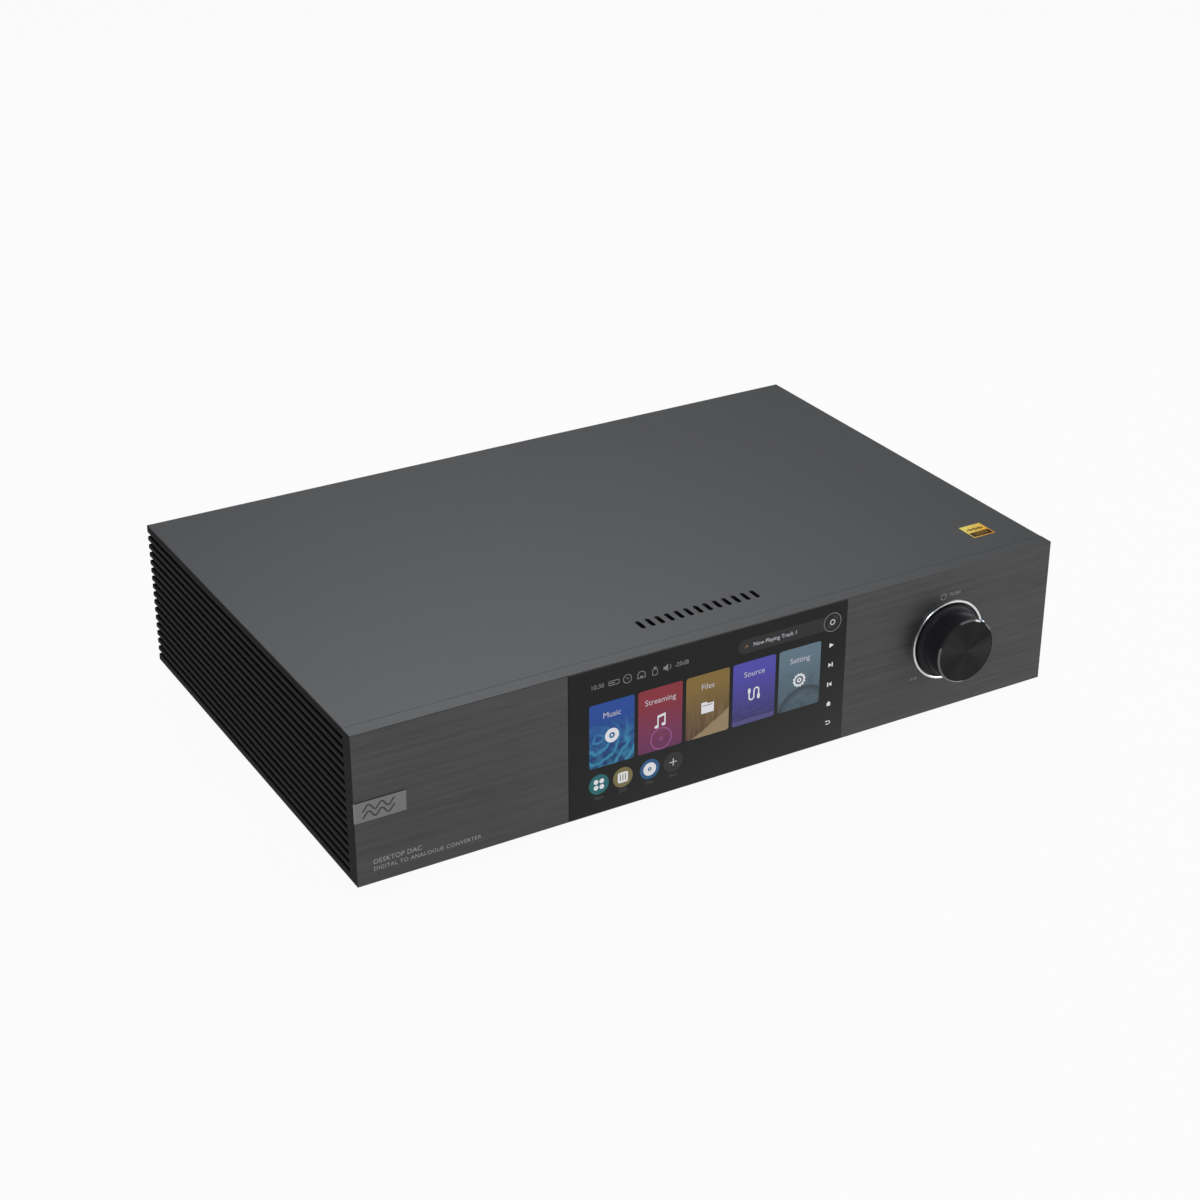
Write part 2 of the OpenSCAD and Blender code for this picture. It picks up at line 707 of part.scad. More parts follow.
module knob_face() {
    color([0.15, 0.15, 0.15]) on_front(knob_x, mid_z)
        rotate_extrude($fn = 96) polygon([
            [0, knob_reach - face_t], [face_r, knob_reach - face_t], [face_r, knob_reach - 0.25],
            [face_r - 0.15, knob_reach - 0.1], [0, knob_reach - 0.1]]);
}

module encoder_shaft() {
    color("silver") on_front(knob_x, mid_z) {
        rod(shaft_r, -shaft_end, shaft_tip);
    }
}

module switch_plunger() {
    color("white") on_front(knob_x, mid_z) rod(shaft_r - 0.2, -shaft_end - plunger_t, -shaft_end);
}

module encoder_body() {
    size = 15;
    color("silver") on_front(knob_x, mid_z) difference() {
        union() {
            translate([0, 0, -encoder_back]) linear_extrude(encoder_back - knob_recess - web_t)
                square(size, center = true);
            rod(bush_r, -knob_recess - web_t - eps, 3.4);
        }
        rod(shaft_r + shaft_gap, -encoder_back + 0.3, 4);
    }
}

module encoder_nut() {
    washer_t = 0.5;
    nut_t = 1.8;
    nut_r = 6.4;
    color("silver") on_front(knob_x, mid_z) {
        difference() {
            rod(6.8, -knob_recess, -knob_recess + washer_t);
            rod(bush_r + thread_gap, -3, 3);
        }
        difference() {
            translate([0, 0, -knob_recess + washer_t]) cylinder(r = nut_r, h = nut_t, $fn = 6);
            rod(bush_r + thread_gap, -3, 3);
        }
    }
}

module encoder_board() {
    color("darkgreen") on_front(knob_x, mid_z) {
        translate([0, 0, -encoder_back - pcb_t]) linear_extrude(pcb_t)
            square([38, 30], center = true);
        translate([11, -9, -encoder_back - pcb_t - 5]) linear_extrude(5)
            square([12, 6], center = true);
    }
}

module knob_ring() {
    outer = ring_d / 2;
    proud = 1;
    soften = 0.35;
    inner = outer - 1.4;
    color("white") on_front(knob_x, mid_z) rotate_extrude($fn = 128) polygon([
        [inner + eps, -knob_recess], [outer - 2 * eps, -knob_recess], [outer - 2 * eps, proud - soften],
        [outer - soften * 0.6, proud - soften * 0.2], [outer - 0.6, proud],
        [inner + 0.5, proud], [inner + soften * 0.4, proud - soften * 0.4], [inner + eps, proud - 0.8]]);
}

module status_light() {
    color("lightblue") on_front(knob_x, mid_z) translate([light_at[0], light_at[1], 0]) {
        rod(light_r, -3, 0.5);
        translate([0, 0, 0.5]) cylinder(r1 = light_r, r2 = light_r * 0.5, h = 0.35);
    }
}

// ---------- boards and power ----------

// A board over an [[x, y], [x, y]] box, with holes over its four posts.
module board_blank(b) {
    difference() {
        block([b[0][0], b[0][1], pcb_z], [b[1][0], b[1][1], pcb_top]);
        for (p = board_posts) translate(p) rod(m3_r + gap, 0, pcb_top + 1);
    }
}

// A component on a board: middle x, middle y, size x, size y, height.
module part_on_board(x, y, w, d, h) {
    translate([x, y, pcb_top + h / 2]) cube([w, d, h], center = true);
}

processor_at = [-20, main_board_box[0][1] + 50];

module main_board() {
    y0 = main_board_box[0][1];
    color("darkgreen") {
        board_blank(main_board_box);
        // processor, memory chips, audio logic, network module and board connectors
        part_on_board(processor_at[0], processor_at[1], 21, 21, 1.4);
        for (i = [0:3]) part_on_board(8 + 13 * (i % 2), y0 + 42 + 15 * floor(i / 2), 9, 12, 1.2);
        part_on_board(-58, y0 + 36, 18, 24, 2.2);
        for (i = [0:2]) part_on_board(36, y0 + 22 + 18 * i, 10, 10, 1.2);
        part_on_board(-30, y0 + 12, 24, 4.5, 3.5);
        part_on_board(-75, y0 + 66, 8, 20, 6);
        for (i = [0:5]) translate([-70 + 9 * i, y0 + 84, 0]) rod(3, pcb_top, pcb_top + 8);
        part_on_board(20, y0 + 84, 18, 8, 2.5);
    }
}

module processor_heatsink() {
    size = 40;
    base_h = 3;
    fins = 9;
    fin_h = 13;
    fin_t = 1.2;
    color("black") translate([processor_at[0], processor_at[1], pcb_top + 1.4]) {
        translate([-size / 2, -size / 2, 0]) cube([size, size, base_h]);
        for (i = [0:fins - 1])
            translate([-size / 2 + i * (size - fin_t) / (fins - 1), -size / 2, base_h - eps])
                cube([fin_t, size, fin_h]);
    }
}

module dac_board() {
    b = dac_board_box;
    x0 = b[0][0];
    y0 = b[0][1];
    color("darkgreen") {
        board_blank(b);
        // converter chips, clock cans and eight filter op-amps for each channel
        for (s = [0, 1]) part_on_board(x0 + 36 + 40 * s, y0 + 30, 14, 14, 1.4);
        for (s = [0, 1]) part_on_board(x0 + 48 + 18 * s, y0 + 14, 12, 8, 5);
        for (i = [0:3], j = [0:1]) part_on_board(x0 + 26 + 20 * i, y0 + 50 + 12 * j, 6, 5, 1.8);
        for (i = [0:4]) translate([x0 + 18 + 19 * i, y0 + 76, 0]) rod(4, pcb_top, pcb_top + 11);
    }
}

// A screening can over the converter section.
module dac_shield() {
    b = dac_board_box;
    wall = 0.8;
    h = 9;
    low = [b[0][0] + 14, b[0][1] + 6, pcb_top];
    high = [b[1][0] - 14, b[0][1] + 44, pcb_top + h];
    color("silver") difference() {
        block(low, high);
        block(low + [wall, wall, -1], high - [wall, wall, wall]);
        for (i = [0:5]) translate([low[0] + 14 + 11 * i, (low[1] + high[1]) / 2, high[2] - wall / 2])
            cylinder(r = 2, h = 4, center = true);
    }
}

capacitor_at = [for (i = [0:2], j = [0:1]) [power_board_box[0][0] + 30 + 19.5 * j,
    power_board_box[0][1] + 14 + 20 * i]];

module power_board() {
    b = power_board_box;
    color("darkgreen") {
        board_blank(b);
        part_on_board(b[0][0] + 15, b[0][1] + 66, 12, 8, 8);
        part_on_board(b[0][0] + 12, b[0][1] + 48, 14, 14, 4);
        for (i = [0:3]) part_on_board(b[0][0] + 6, b[0][1] + 14 + 6 * i, 3, 5, 7);
    }
}

module filter_capacitors() {
    color([0.1, 0.15, 0.35]) for (p = capacitor_at) translate(p) {
        rod(8.5, pcb_top, pcb_top + 30);
        rod(7.6, pcb_top + 30 - eps, pcb_top + 30.5);
    }
}

module regulator_heatsink() {
    x = power_board_box[1][0] - 12;
    y = power_board_box[0][1] + 10;
    length = 54;
    h = 24;
    color("silver") {
        block([x, y, pcb_top], [x + 2.5, y + length, pcb_top + h]);
        for (i = [0:4]) block([x + 2.5 - eps, y, pcb_top + 3 + 4.6 * i],
                              [x + 9, y + length, pcb_top + 4.2 + 4.6 * i]);
        // regulators clipped to the plain side
        for (i = [0:2]) block([x - 4.6, y + 6 + 17 * i, pcb_top + 4], [x, y + 16 + 17 * i, pcb_top + 19]);
    }
}

transformer_r = 46;
transformer_hole = 14;
transformer_h = 44;
transformer_z = floor_z + 3;

module power_transformer() {
    soft = 9;
    r_in = transformer_hole + soft;
    r_out = transformer_r - soft;
    color([0.75, 0.65, 0.2]) translate([transformer_x, transformer_y, transformer_z])
        rotate_extrude($fn = 96) {
            translate([r_in - soft, soft]) square([r_out - r_in + 2 * soft, transformer_h - 2 * soft]);
            translate([r_in, 0]) square([r_out - r_in, transformer_h]);
            for (x = [r_in, r_out], y = [soft, transformer_h - soft]) translate([x, y]) circle(soft);
        }
}

module transformer_clamp() {
    z = transformer_z + transformer_h;
    color("silver") translate([transformer_x, transformer_y]) {
        difference() {
            rod(28, z, z + 1.5);
            rod(m4_r + gap, z - 1, z + 3);
        }
        translate([0, 0, z + 1.5]) pan_screw(m4_r, z - floor_z + 1, 4, 2.6);
    }
}

module board_standoffs() {
    color("gold") for (p = board_posts) {
        translate(p) difference() {
            rod(2.8, floor_z, pcb_z);
            rod(m3_r + thread_gap, floor_z - 1, pcb_z + 1);
        }
        translate([p[0], p[1], pcb_top]) pan_screw(m3_r, pcb_t + 3, m3_head_r, m3_head_h);
    }
}

// Live, neutral and earth leads from the inlet's tags to the power board's terminal block.
module mains_harness() {
    r = 1.1;
    spread = 3.4;
    block_h = 8;
    tag_y = rear_face_y - inlet_deep - inlet_tag;
    end_x = power_board_box[0][0] + 15;
    end_y = power_board_box[0][1] + 66;
    colours = ["brown", "yellow", "blue"];
    for (i = [0:2]) {
        x0 = inlet_x + (i - 1) * inlet_blade_x;
        z0 = inlet_z + inlet_mouth_y + (i == 1 ? inlet_earth_y : inlet_blade_y);
        x1 = end_x + (i - 1) * spread;
        z1 = pcb_top + block_h;
        color(colours[i]) wire([
            [x0, tag_y, z0], [x0, tag_y - 2.5, z0], [x0 - 1, tag_y - 5, z0 + 2.5],
            [(x0 + x1) / 2, (tag_y + end_y) / 2 - 1, z1 + 9 + 2 * i],
            [x1 + 1, end_y + 2, z1 + 7], [x1, end_y, z1 + 4], [x1, end_y, z1]], r);
    }
}

// ---------- rear connectors: local +Z points out of the back, local +Y up ----------

xlr_flange = [26, 31];
xlr_flange_t = 2;
xlr_body_r = 11.8;
xlr_mouth_r = 9.45;
xlr_deep = 22;
xlr_pin_r = 1.2;
xlr_pin_circle = 3.8;
xlr_screws = [[-9.5, 12], [9.5, -12]];
pin_angles = [0, 180, 270];

module xlr_shell() {
    translate([0, 0, 0]) linear_extrude(xlr_flange_t) difference() {
        rounded_rect(xlr_flange[0], xlr_flange[1], 2.5);
        for (p = xlr_screws) translate(p) circle(m3_r + gap);
    }
    rod(xlr_body_r, -xlr_deep, eps);
}

module xlr_output_sockets() {
    mouth_deep = 11;
    color([0.1, 0.1, 0.1]) for (z = xlr_rows) on_rear(xlr_output_x, z) {
        difference() {
            xlr_shell();
            rod(xlr_mouth_r, -mouth_deep, xlr_flange_t + 1);
        }
        for (a = pin_angles) rotate(a) translate([xlr_pin_circle, 0, 0]) {
            rod(xlr_pin_r, -mouth_deep - eps, -0.6);
            translate([0, 0, -0.6 - eps]) cylinder(r1 = xlr_pin_r, r2 = 0.6, h = 0.6);
        }
    }
}

latch_size = [7, 3.6];
latch_y = 11.6;
latch_travel = 2;

module xlr_input_sockets() {
    groove_deep = 11;
    insert_r = 7.9;
    color([0.1, 0.1, 0.1]) for (z = xlr_rows) on_rear(xlr_input_x, z) difference() {
        union() {
            difference() {
                xlr_shell();
                rod(xlr_mouth_r, -groove_deep, xlr_flange_t + 1);
            }
            rod(insert_r, -groove_deep - eps, xlr_flange_t - 0.4);
            // housing behind the flange that guides the release button
            translate([0, latch_y, -5]) linear_extrude(5 + eps)
                square(latch_size + [2.4, 2.4], center = true);
        }
        for (a = pin_angles) rotate(a) translate([xlr_pin_circle, 0, 0]) rod(1.4, -9, xlr_flange_t + 1);
        // seat of the release button
        translate([0, latch_y, -4]) linear_extrude(8)
            square([latch_size[0] + 0.4, latch_size[1] + 0.3], center = true);
    }
}

// The release button over an input socket: it is pushed towards the panel.
module xlr_latch(z) {
    proud = 3;
    color("silver") on_rear(xlr_input_x, z) translate([0, latch_y, 0]) difference() {
        translate([0, 0, -1.5]) linear_extrude(xlr_flange_t + proud + 1.5)
            square(latch_size, center = true);
        translate([0, latch_size[1] / 2 + 0.6, xlr_flange_t + proud]) rotate([0, 90, 0])
            cylinder(r = 1.6, h = latch_size[0] + 1, center = true);
    }
}

module xlr_latch_upper() { xlr_latch(xlr_rows[1]); }

module xlr_latch_lower() { xlr_latch(xlr_rows[0]); }

rca_places = concat(
    [for (z = rca_rows, x = [rca_output_x, rca_input_x]) [x, z]],
    [for (x = coax_columns) [x, coax_row]]);
rca_r = 4.15;
rca_bore = 3.1;
rca_thread_r = 4.6;
rca_collar_r = 6.4;
rca_shoulder = 1.8;

// The plated shell of each phono jack: barrel, collar, and the threaded tail with its nut.
module rca_jacks() {
    color("gold") for (p = rca_places) on_rear(p[0], p[1]) {
        difference() {
            union() {
                rod(rca_r, rca_shoulder - eps, rca_reach - 0.3);
                translate([0, 0, rca_reach - 0.3 - eps])
                    cylinder(r1 = rca_r, r2 = rca_r - 0.3, h = 0.3 + eps);
                rod(rca_thread_r, -rear_t - 5, rca_shoulder);
            }
            rod(rca_bore, -rear_t - 6, rca_reach + 1);
        }
        difference() {
            translate([0, 0, -rear_t - 3.2]) cylinder(r = 6.6, h = 2.2, $fn = 6);
            rod(rca_thread_r + thread_gap, -rear_t - 4, 0);
        }
    }
}

// Coloured collars outside the panel, with the white core that holds the centre contact.
module rca_insulators() {
    contact_r = 1.65;
    color("white") for (p = rca_places) on_rear(p[0], p[1]) {
        difference() {
            rod(rca_collar_r, 0, 1.6);
            rod(rca_thread_r + thread_gap, -1, 3);
        }
        difference() {
            rod(rca_bore - 0.02, -rear_t - 4.5, rca_reach - 1);
            rod(contact_r, -rear_t - 2, rca_reach + 1);
        }
    }
}

optical_size = 13;
optical_mouth = 8.4;
optical_deep = 17;
optical_z = pcb_top + optical_size / 2 - 0.2;
shutter_hinge = [3.65, -5];
shutter_pin_r = 0.5;

module optical_sockets() {
    floor_t = 2;
    color([0.06, 0.06, 0.06]) for (x = optical_columns) on_rear(x, optical_z) difference() {
        translate([0, 0.1, -optical_deep + 1]) linear_extrude(optical_deep)
            square([optical_size - 0.2, optical_size - 0.2], center = true);
        translate([0, 0, -optical_deep + 1 + floor_t]) linear_extrude(optical_deep)
            square(optical_mouth, center = true);
        translate([0, shutter_hinge[0], shutter_hinge[1]]) rotate([0, 90, 0])
            cylinder(r = shutter_pin_r + 0.05, h = optical_mouth + 2, center = true);
    }
}

// A spring-loaded door behind an optical socket's mouth, hinged along its top edge.
module optical_shutter(x) {
    t = 0.8;
    w = optical_mouth - 0.4;
    color([0.2, 0.2, 0.2]) on_rear(x, optical_z) {
        translate([-w / 2, -optical_mouth / 2 + 0.15, shutter_hinge[1] - t / 2])
            cube([w, shutter_hinge[0] + optical_mouth / 2 - 0.15, t]);
        translate([0, shutter_hinge[0], shutter_hinge[1]]) rotate([0, 90, 0])
            cylinder(r = shutter_pin_r, h = optical_mouth + 1.6, center = true);
    }
}

module optical_shutter_in() { optical_shutter(optical_columns[0]); }

module optical_shutter_out() { optical_shutter(optical_columns[1]); }

usb_a_size = [14.4, 7];
usb_a_z = pcb_top + usb_a_size[1] / 2;
usb_b_size = [12, 11];
usb_b_z = pcb_top + usb_b_size[1] / 2;
hdmi_size = [15, 5.6];
hdmi_z = pcb_top + hdmi_size[1] / 2;
port_deep = 14;
port_proud = 0.6;

// A pressed-metal port shell with a tongue inside: size, wall, tongue size and its height.
module port(size, wall, tongue, tongue_y) {
    difference() {
        translate([0, 0, -port_deep]) linear_extrude(port_deep + port_proud)
            square(size, center = true);
        translate([0, 0, -port_deep + 3]) linear_extrude(port_deep)
            square([size[0] - 2 * wall, size[1] - 2 * wall], center = true);
    }
    translate([0, tongue_y, -port_deep + 3 - eps]) linear_extrude(port_deep - 4.5)
        square(tongue, center = true);
}

module usb_ports() {
    color("silver") {
        for (x = usb_a_columns) on_rear(x, usb_a_z) port(usb_a_size, 0.7, [11, 1.1], 2.1);
        on_rear(usb_b_x, usb_b_z) port(usb_b_size, 1.6, [5.6, 3.2], 0);
    }
}

module hdmi_port() {
    color("silver") on_rear(hdmi_x, hdmi_z) port(hdmi_size, 0.5, [11, 0.9], 0.3);
}

ethernet_size = [16, 13.5];
ethernet_z = pcb_top + ethernet_size[1] / 2;

module ethernet_port() {
    deep = 17;
    mouth = [11.8, 7];
    color("silver") on_rear(ethernet_x, ethernet_z) difference() {
        translate([0, 0, -deep]) linear_extrude(deep + port_proud) square(ethernet_size, center = true);
        translate([0, 0.9, -deep + 3]) linear_extrude(deep) {
            square(mouth, center = true);
            // keyway for the plug's clip
            translate([0, -mouth[1] / 2 - 0.7]) square([6, 2.4], center = true);
            translate([0, -mouth[1] / 2 - 2.2]) square([3.4, 2.2], center = true);
        }
        // windows of the two indicator lamps
        for (s = [-1, 1]) translate([s * 5.6, ethernet_size[1] / 2 - 1.5, port_proud])
            cube([3, 1.4, 0.8], center = true);
    }
}

antenna_r = 3.175;
antenna_reach = 8.5;

antenna_body_r = 3.7;
antenna_shoulder = 1.9;

module antenna_sockets() {
    nut_r = 5.2;
    nut_t = 1.7;
    color("gold") for (x = antenna_columns) on_rear(x, coax_row) {
        difference() {
            union() {
                rod(antenna_body_r, -rear_t - 7, antenna_shoulder);
                rod(antenna_r, antenna_shoulder - eps, antenna_reach - 0.4);
                translate([0, 0, antenna_reach - 0.4 - eps])
                    cylinder(r1 = antenna_r, r2 = antenna_r - 0.4, h = 0.4 + eps);
            }
            rod(2.2, antenna_reach - 5, antenna_reach + 1);
        }
        difference() {
            cylinder(r = nut_r, h = nut_t, $fn = 6);
            rod(antenna_body_r + thread_gap, -1, 3);
        }
        translate([0, 0, antenna_reach - 5 - eps]) cylinder(r = 0.5, h = 4);
    }
}

trigger_thread_r = 4;
trigger_bore = 1.8;
trigger_wall = 14;

module trigger_jacks() {
    collar_h = 1.6;
    color([0.12, 0.12, 0.12]) for (x = trigger_columns) on_rear(x, coax_row) difference() {
        union() {
            rod(trigger_thread_r, -rear_t - eps, collar_h);
            rod(5.4, 0, 1.1);
            translate([0, 0, -trigger_wall + collar_h]) linear_extrude(trigger_wall - collar_h - rear_t)
                square([9, 9], center = true);
        }
        rod(trigger_bore, -trigger_wall + collar_h - 1, collar_h + 1);
    }
}

// ---------- mains inlet with fuse drawer and rocker switch ----------

inlet_body = [27.4, 57];
inlet_flange = [31, 62];
inlet_flange_t = 2.4;
inlet_deep = 27;
inlet_tag = 5;
inlet_mouth = [24.4, 16.6];
inlet_mouth_y = -18;
inlet_mouth_deep = 16;
fuse_size = [19, 8.4];
fuse_y = -3.4;
fuse_deep = 24;
rocker_half = 8.6;
rocker_h = 12.6;
rocker_y = 15;
rocker_pivot = -3.4;
rocker_swing = 22;
rocker_pin_r = 1.2;

// The outline of the inlet's mouth: two corners are cut so that a plug fits one way up.
module inlet_mouth_outline() {
    cut = 4.2;
    x = inlet_mouth[0] / 2;
    y = inlet_mouth[1] / 2;
    polygon([[-x, -y], [x, -y], [x, y - cut], [x - cut, y], [-x + cut, y], [-x, y - cut]]);
}

module power_inlet() {
    color([0.07, 0.07, 0.07]) on_rear(inlet_x, inlet_z) difference() {
        union() {
            linear_extrude(inlet_flange_t) rounded_rect(inlet_flange[0], inlet_flange[1], 3);
            translate([0, 0, -inlet_deep]) linear_extrude(inlet_deep + eps)
                square(inlet_body, center = true);
        }
        translate([0, inlet_mouth_y, inlet_flange_t - inlet_mouth_deep]) linear_extrude(inlet_mouth_deep + 1)
            inlet_mouth_outline();
        translate([0, fuse_y, inlet_flange_t - fuse_deep - 0.4]) linear_extrude(fuse_deep + 2)
            square([fuse_size[0] + 0.3, fuse_size[1] + 0.3], center = true);
        translate([0, rocker_y, inlet_flange_t - 14]) linear_extrude(16)
            square([2 * rocker_half + 3, rocker_h + 0.6], center = true);
        translate([0, rocker_y, inlet_flange_t + rocker_pivot]) rotate([90, 0, 0])
            cylinder(r = rocker_pin_r + 0.06, h = rocker_h + 3.2, center = true);
        // slots for the blades
        for (p = inlet_blades) translate([p[0], inlet_mouth_y + p[1], -inlet_deep - 1])
            linear_extrude(inlet_deep) square([2.02, 4.02], center = true);
    }
}

inlet_blade_x = 7;
inlet_blade_y = -1.5;
inlet_earth_y = 2.6;
inlet_blades = [[-inlet_blade_x, inlet_blade_y], [inlet_blade_x, inlet_blade_y], [0, inlet_earth_y]];

module inlet_pins() {
    color("silver") on_rear(inlet_x, inlet_z) for (p = inlet_blades)
        translate([p[0], inlet_mouth_y + p[1], -inlet_deep - inlet_tag])
            linear_extrude(inlet_deep + inlet_tag) square([2, 4], center = true);
}

// The drawer that holds the fuse: it pulls straight out of the back.
module fuse_drawer() {
    lip_t = 1.8;
    color([0.16, 0.16, 0.16]) on_rear(inlet_x, inlet_z) translate([0, fuse_y, inlet_flange_t]) difference() {
        union() {
            translate([0, 0, -fuse_deep]) linear_extrude(fuse_deep + eps) square(fuse_size, center = true);
            linear_extrude(lip_t) square([fuse_size[0] + 2.6, fuse_size[1] + 0.6], center = true);
        }
        // finger notch in the lip and the trough of the fuse
        translate([0, fuse_size[1] / 2 + 1.2, lip_t]) rotate([0, 90, 0])
            cylinder(r = 2.2, h = 9, center = true);
        translate([0, fuse_size[1] / 2, -fuse_deep / 2])
            cube([fuse_trough, 2 * fuse_trough, fuse_length + 0.6], center = true);
    }
}

fuse_trough = 5.6;
fuse_length = 20;
fuse_r = 2.6;

// A cartridge fuse that lies in the drawer's trough: two end caps on a glass tube.
module fuse() {
    cap = 5;
    color("silver") on_rear(inlet_x, inlet_z)
        translate([0, fuse_y + fuse_size[1] / 2 - fuse_r - 0.2, inlet_flange_t - fuse_deep / 2]) {
            rod(fuse_r - 0.25, -fuse_length / 2 + cap - eps, fuse_length / 2 - cap + eps);
            for (s = [-1, 1]) translate([0, 0, s * (fuse_length - cap) / 2])
                rod(fuse_r, -cap / 2, cap / 2);
        }
}

// The rocker stands with its left half pressed. It turns about an upright pin.
module power_rocker() {
    rise = rocker_half * tan(rocker_swing / 2);
    low = -5.5;
    color([0.09, 0.09, 0.09]) on_rear(inlet_x, inlet_z)
        translate([0, rocker_y, inlet_flange_t + rocker_pivot]) rotate([0, rocker_swing / 2, 0])
            translate([0, 0, -rocker_pivot]) {
                rotate([90, 0, 0]) linear_extrude(rocker_h, center = true) polygon([
                    [-rocker_half, 0.4 + rise], [0, 0.4], [rocker_half, 0.4 + rise],
                    [rocker_half, -2.6], [4, low - 1], [-4, low - 1], [-rocker_half, -2.6]]);
                translate([0, 0, rocker_pivot]) rotate([90, 0, 0])
                    cylinder(r = rocker_pin_r, h = rocker_h + 2.6, center = true);
            }
}

// ---------- one node at a time ----------

top_cover();
front_panel();
side_panel_left();
side_panel_right();
base_plate();
rear_panel();
corner_brackets();
storage_hatch();
badge_plate();
foil_label();
feet();
foot_pads();
foot_screws();
rear_screws();
base_screws();
display_glass();
lcd_module();
display_bracket();
display_board();
display_ribbon();
knob();
knob_face();
knob_set_screw();
encoder_shaft();
switch_plunger();
encoder_body();
encoder_nut();
encoder_board();
knob_ring();
status_light();
main_board();
processor_heatsink();
dac_board();
dac_shield();
power_board();
filter_capacitors();
regulator_heatsink();
power_transformer();
transformer_clamp();
board_standoffs();
mains_harness();
xlr_output_sockets();
xlr_input_sockets();
xlr_latch_upper();
xlr_latch_lower();
rca_jacks();
rca_insulators();
optical_sockets();
optical_shutter_in();
optical_shutter_out();
usb_ports();
hdmi_port();
ethernet_port();
antenna_sockets();
trigger_jacks();
power_inlet();
inlet_pins();
fuse_drawer();
fuse();
power_rocker();
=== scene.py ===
"""Looks of a full-width desktop DAC: finned aluminium case, touch display and volume knob.

Lengths are in millimetres until MM turns them into metres. Those of the frame, the floor, the lights and the
camera are in metres throughout. Places on the front are (x, z): x from the case's middle, z from
the case's lower edge.
"""
import math

import bpy
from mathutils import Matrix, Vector

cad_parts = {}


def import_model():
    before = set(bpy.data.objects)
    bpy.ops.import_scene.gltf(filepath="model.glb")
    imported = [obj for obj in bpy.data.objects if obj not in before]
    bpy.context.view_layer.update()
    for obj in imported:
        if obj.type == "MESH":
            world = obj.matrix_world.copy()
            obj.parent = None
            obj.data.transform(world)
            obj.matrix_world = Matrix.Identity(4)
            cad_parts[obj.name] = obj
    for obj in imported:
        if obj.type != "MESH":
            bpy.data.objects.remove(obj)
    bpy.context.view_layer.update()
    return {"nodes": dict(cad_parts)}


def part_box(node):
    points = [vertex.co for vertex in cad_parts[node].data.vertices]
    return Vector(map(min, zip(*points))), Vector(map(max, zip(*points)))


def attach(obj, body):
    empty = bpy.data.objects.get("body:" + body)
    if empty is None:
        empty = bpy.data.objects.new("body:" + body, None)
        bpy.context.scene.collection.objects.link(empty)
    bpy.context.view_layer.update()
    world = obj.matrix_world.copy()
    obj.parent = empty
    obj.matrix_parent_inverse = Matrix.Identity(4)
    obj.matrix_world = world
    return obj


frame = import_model()
nodes = frame["nodes"]

MM = 0.001
INK = 0.02  # thickness of printing and of the display's pictures
FONT_CAPITAL = 0.72  # height of a capital over the font's size
FACING = {
    "front": (math.pi / 2, 0, 0),
    "back": (math.pi / 2, 0, math.pi),
    "up": (0, 0, 0),
}

case_low, case_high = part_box("front_panel")
glass_low, glass_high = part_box("display_glass")
rear_low, rear_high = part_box("rear_panel")
knob_low, knob_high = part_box("knob")
ring_low, ring_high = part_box("knob_ring")
badge_low, badge_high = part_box("badge_plate")
foil_low, foil_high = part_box("foil_label")


# ---------------------------------------------------------------- materials


def linear(red, green, blue):
    """A screen colour of 0 to 255 a channel as the linear colour that a shader takes."""
    values = [c / 255 for c in (red, green, blue)]
    return tuple(c / 12.92 if c <= 0.04045 else ((c + 0.055) / 1.055) ** 2.4 for c in values) + (1,)


def scaled(colour, factor):
    return tuple(min(c * factor, 1) for c in colour[:3]) + (1,)


CASE = linear(99, 100, 102)  # the cover, and painted top light on the front panel's faces that look up
FRONT = linear(75, 75, 75)  # front face
END_SHADE = linear(34, 34, 34)  # cut ends, painted darker as shade
COVER_ROUGHNESS = 0.5
GLASS_SPECULAR = 0.18


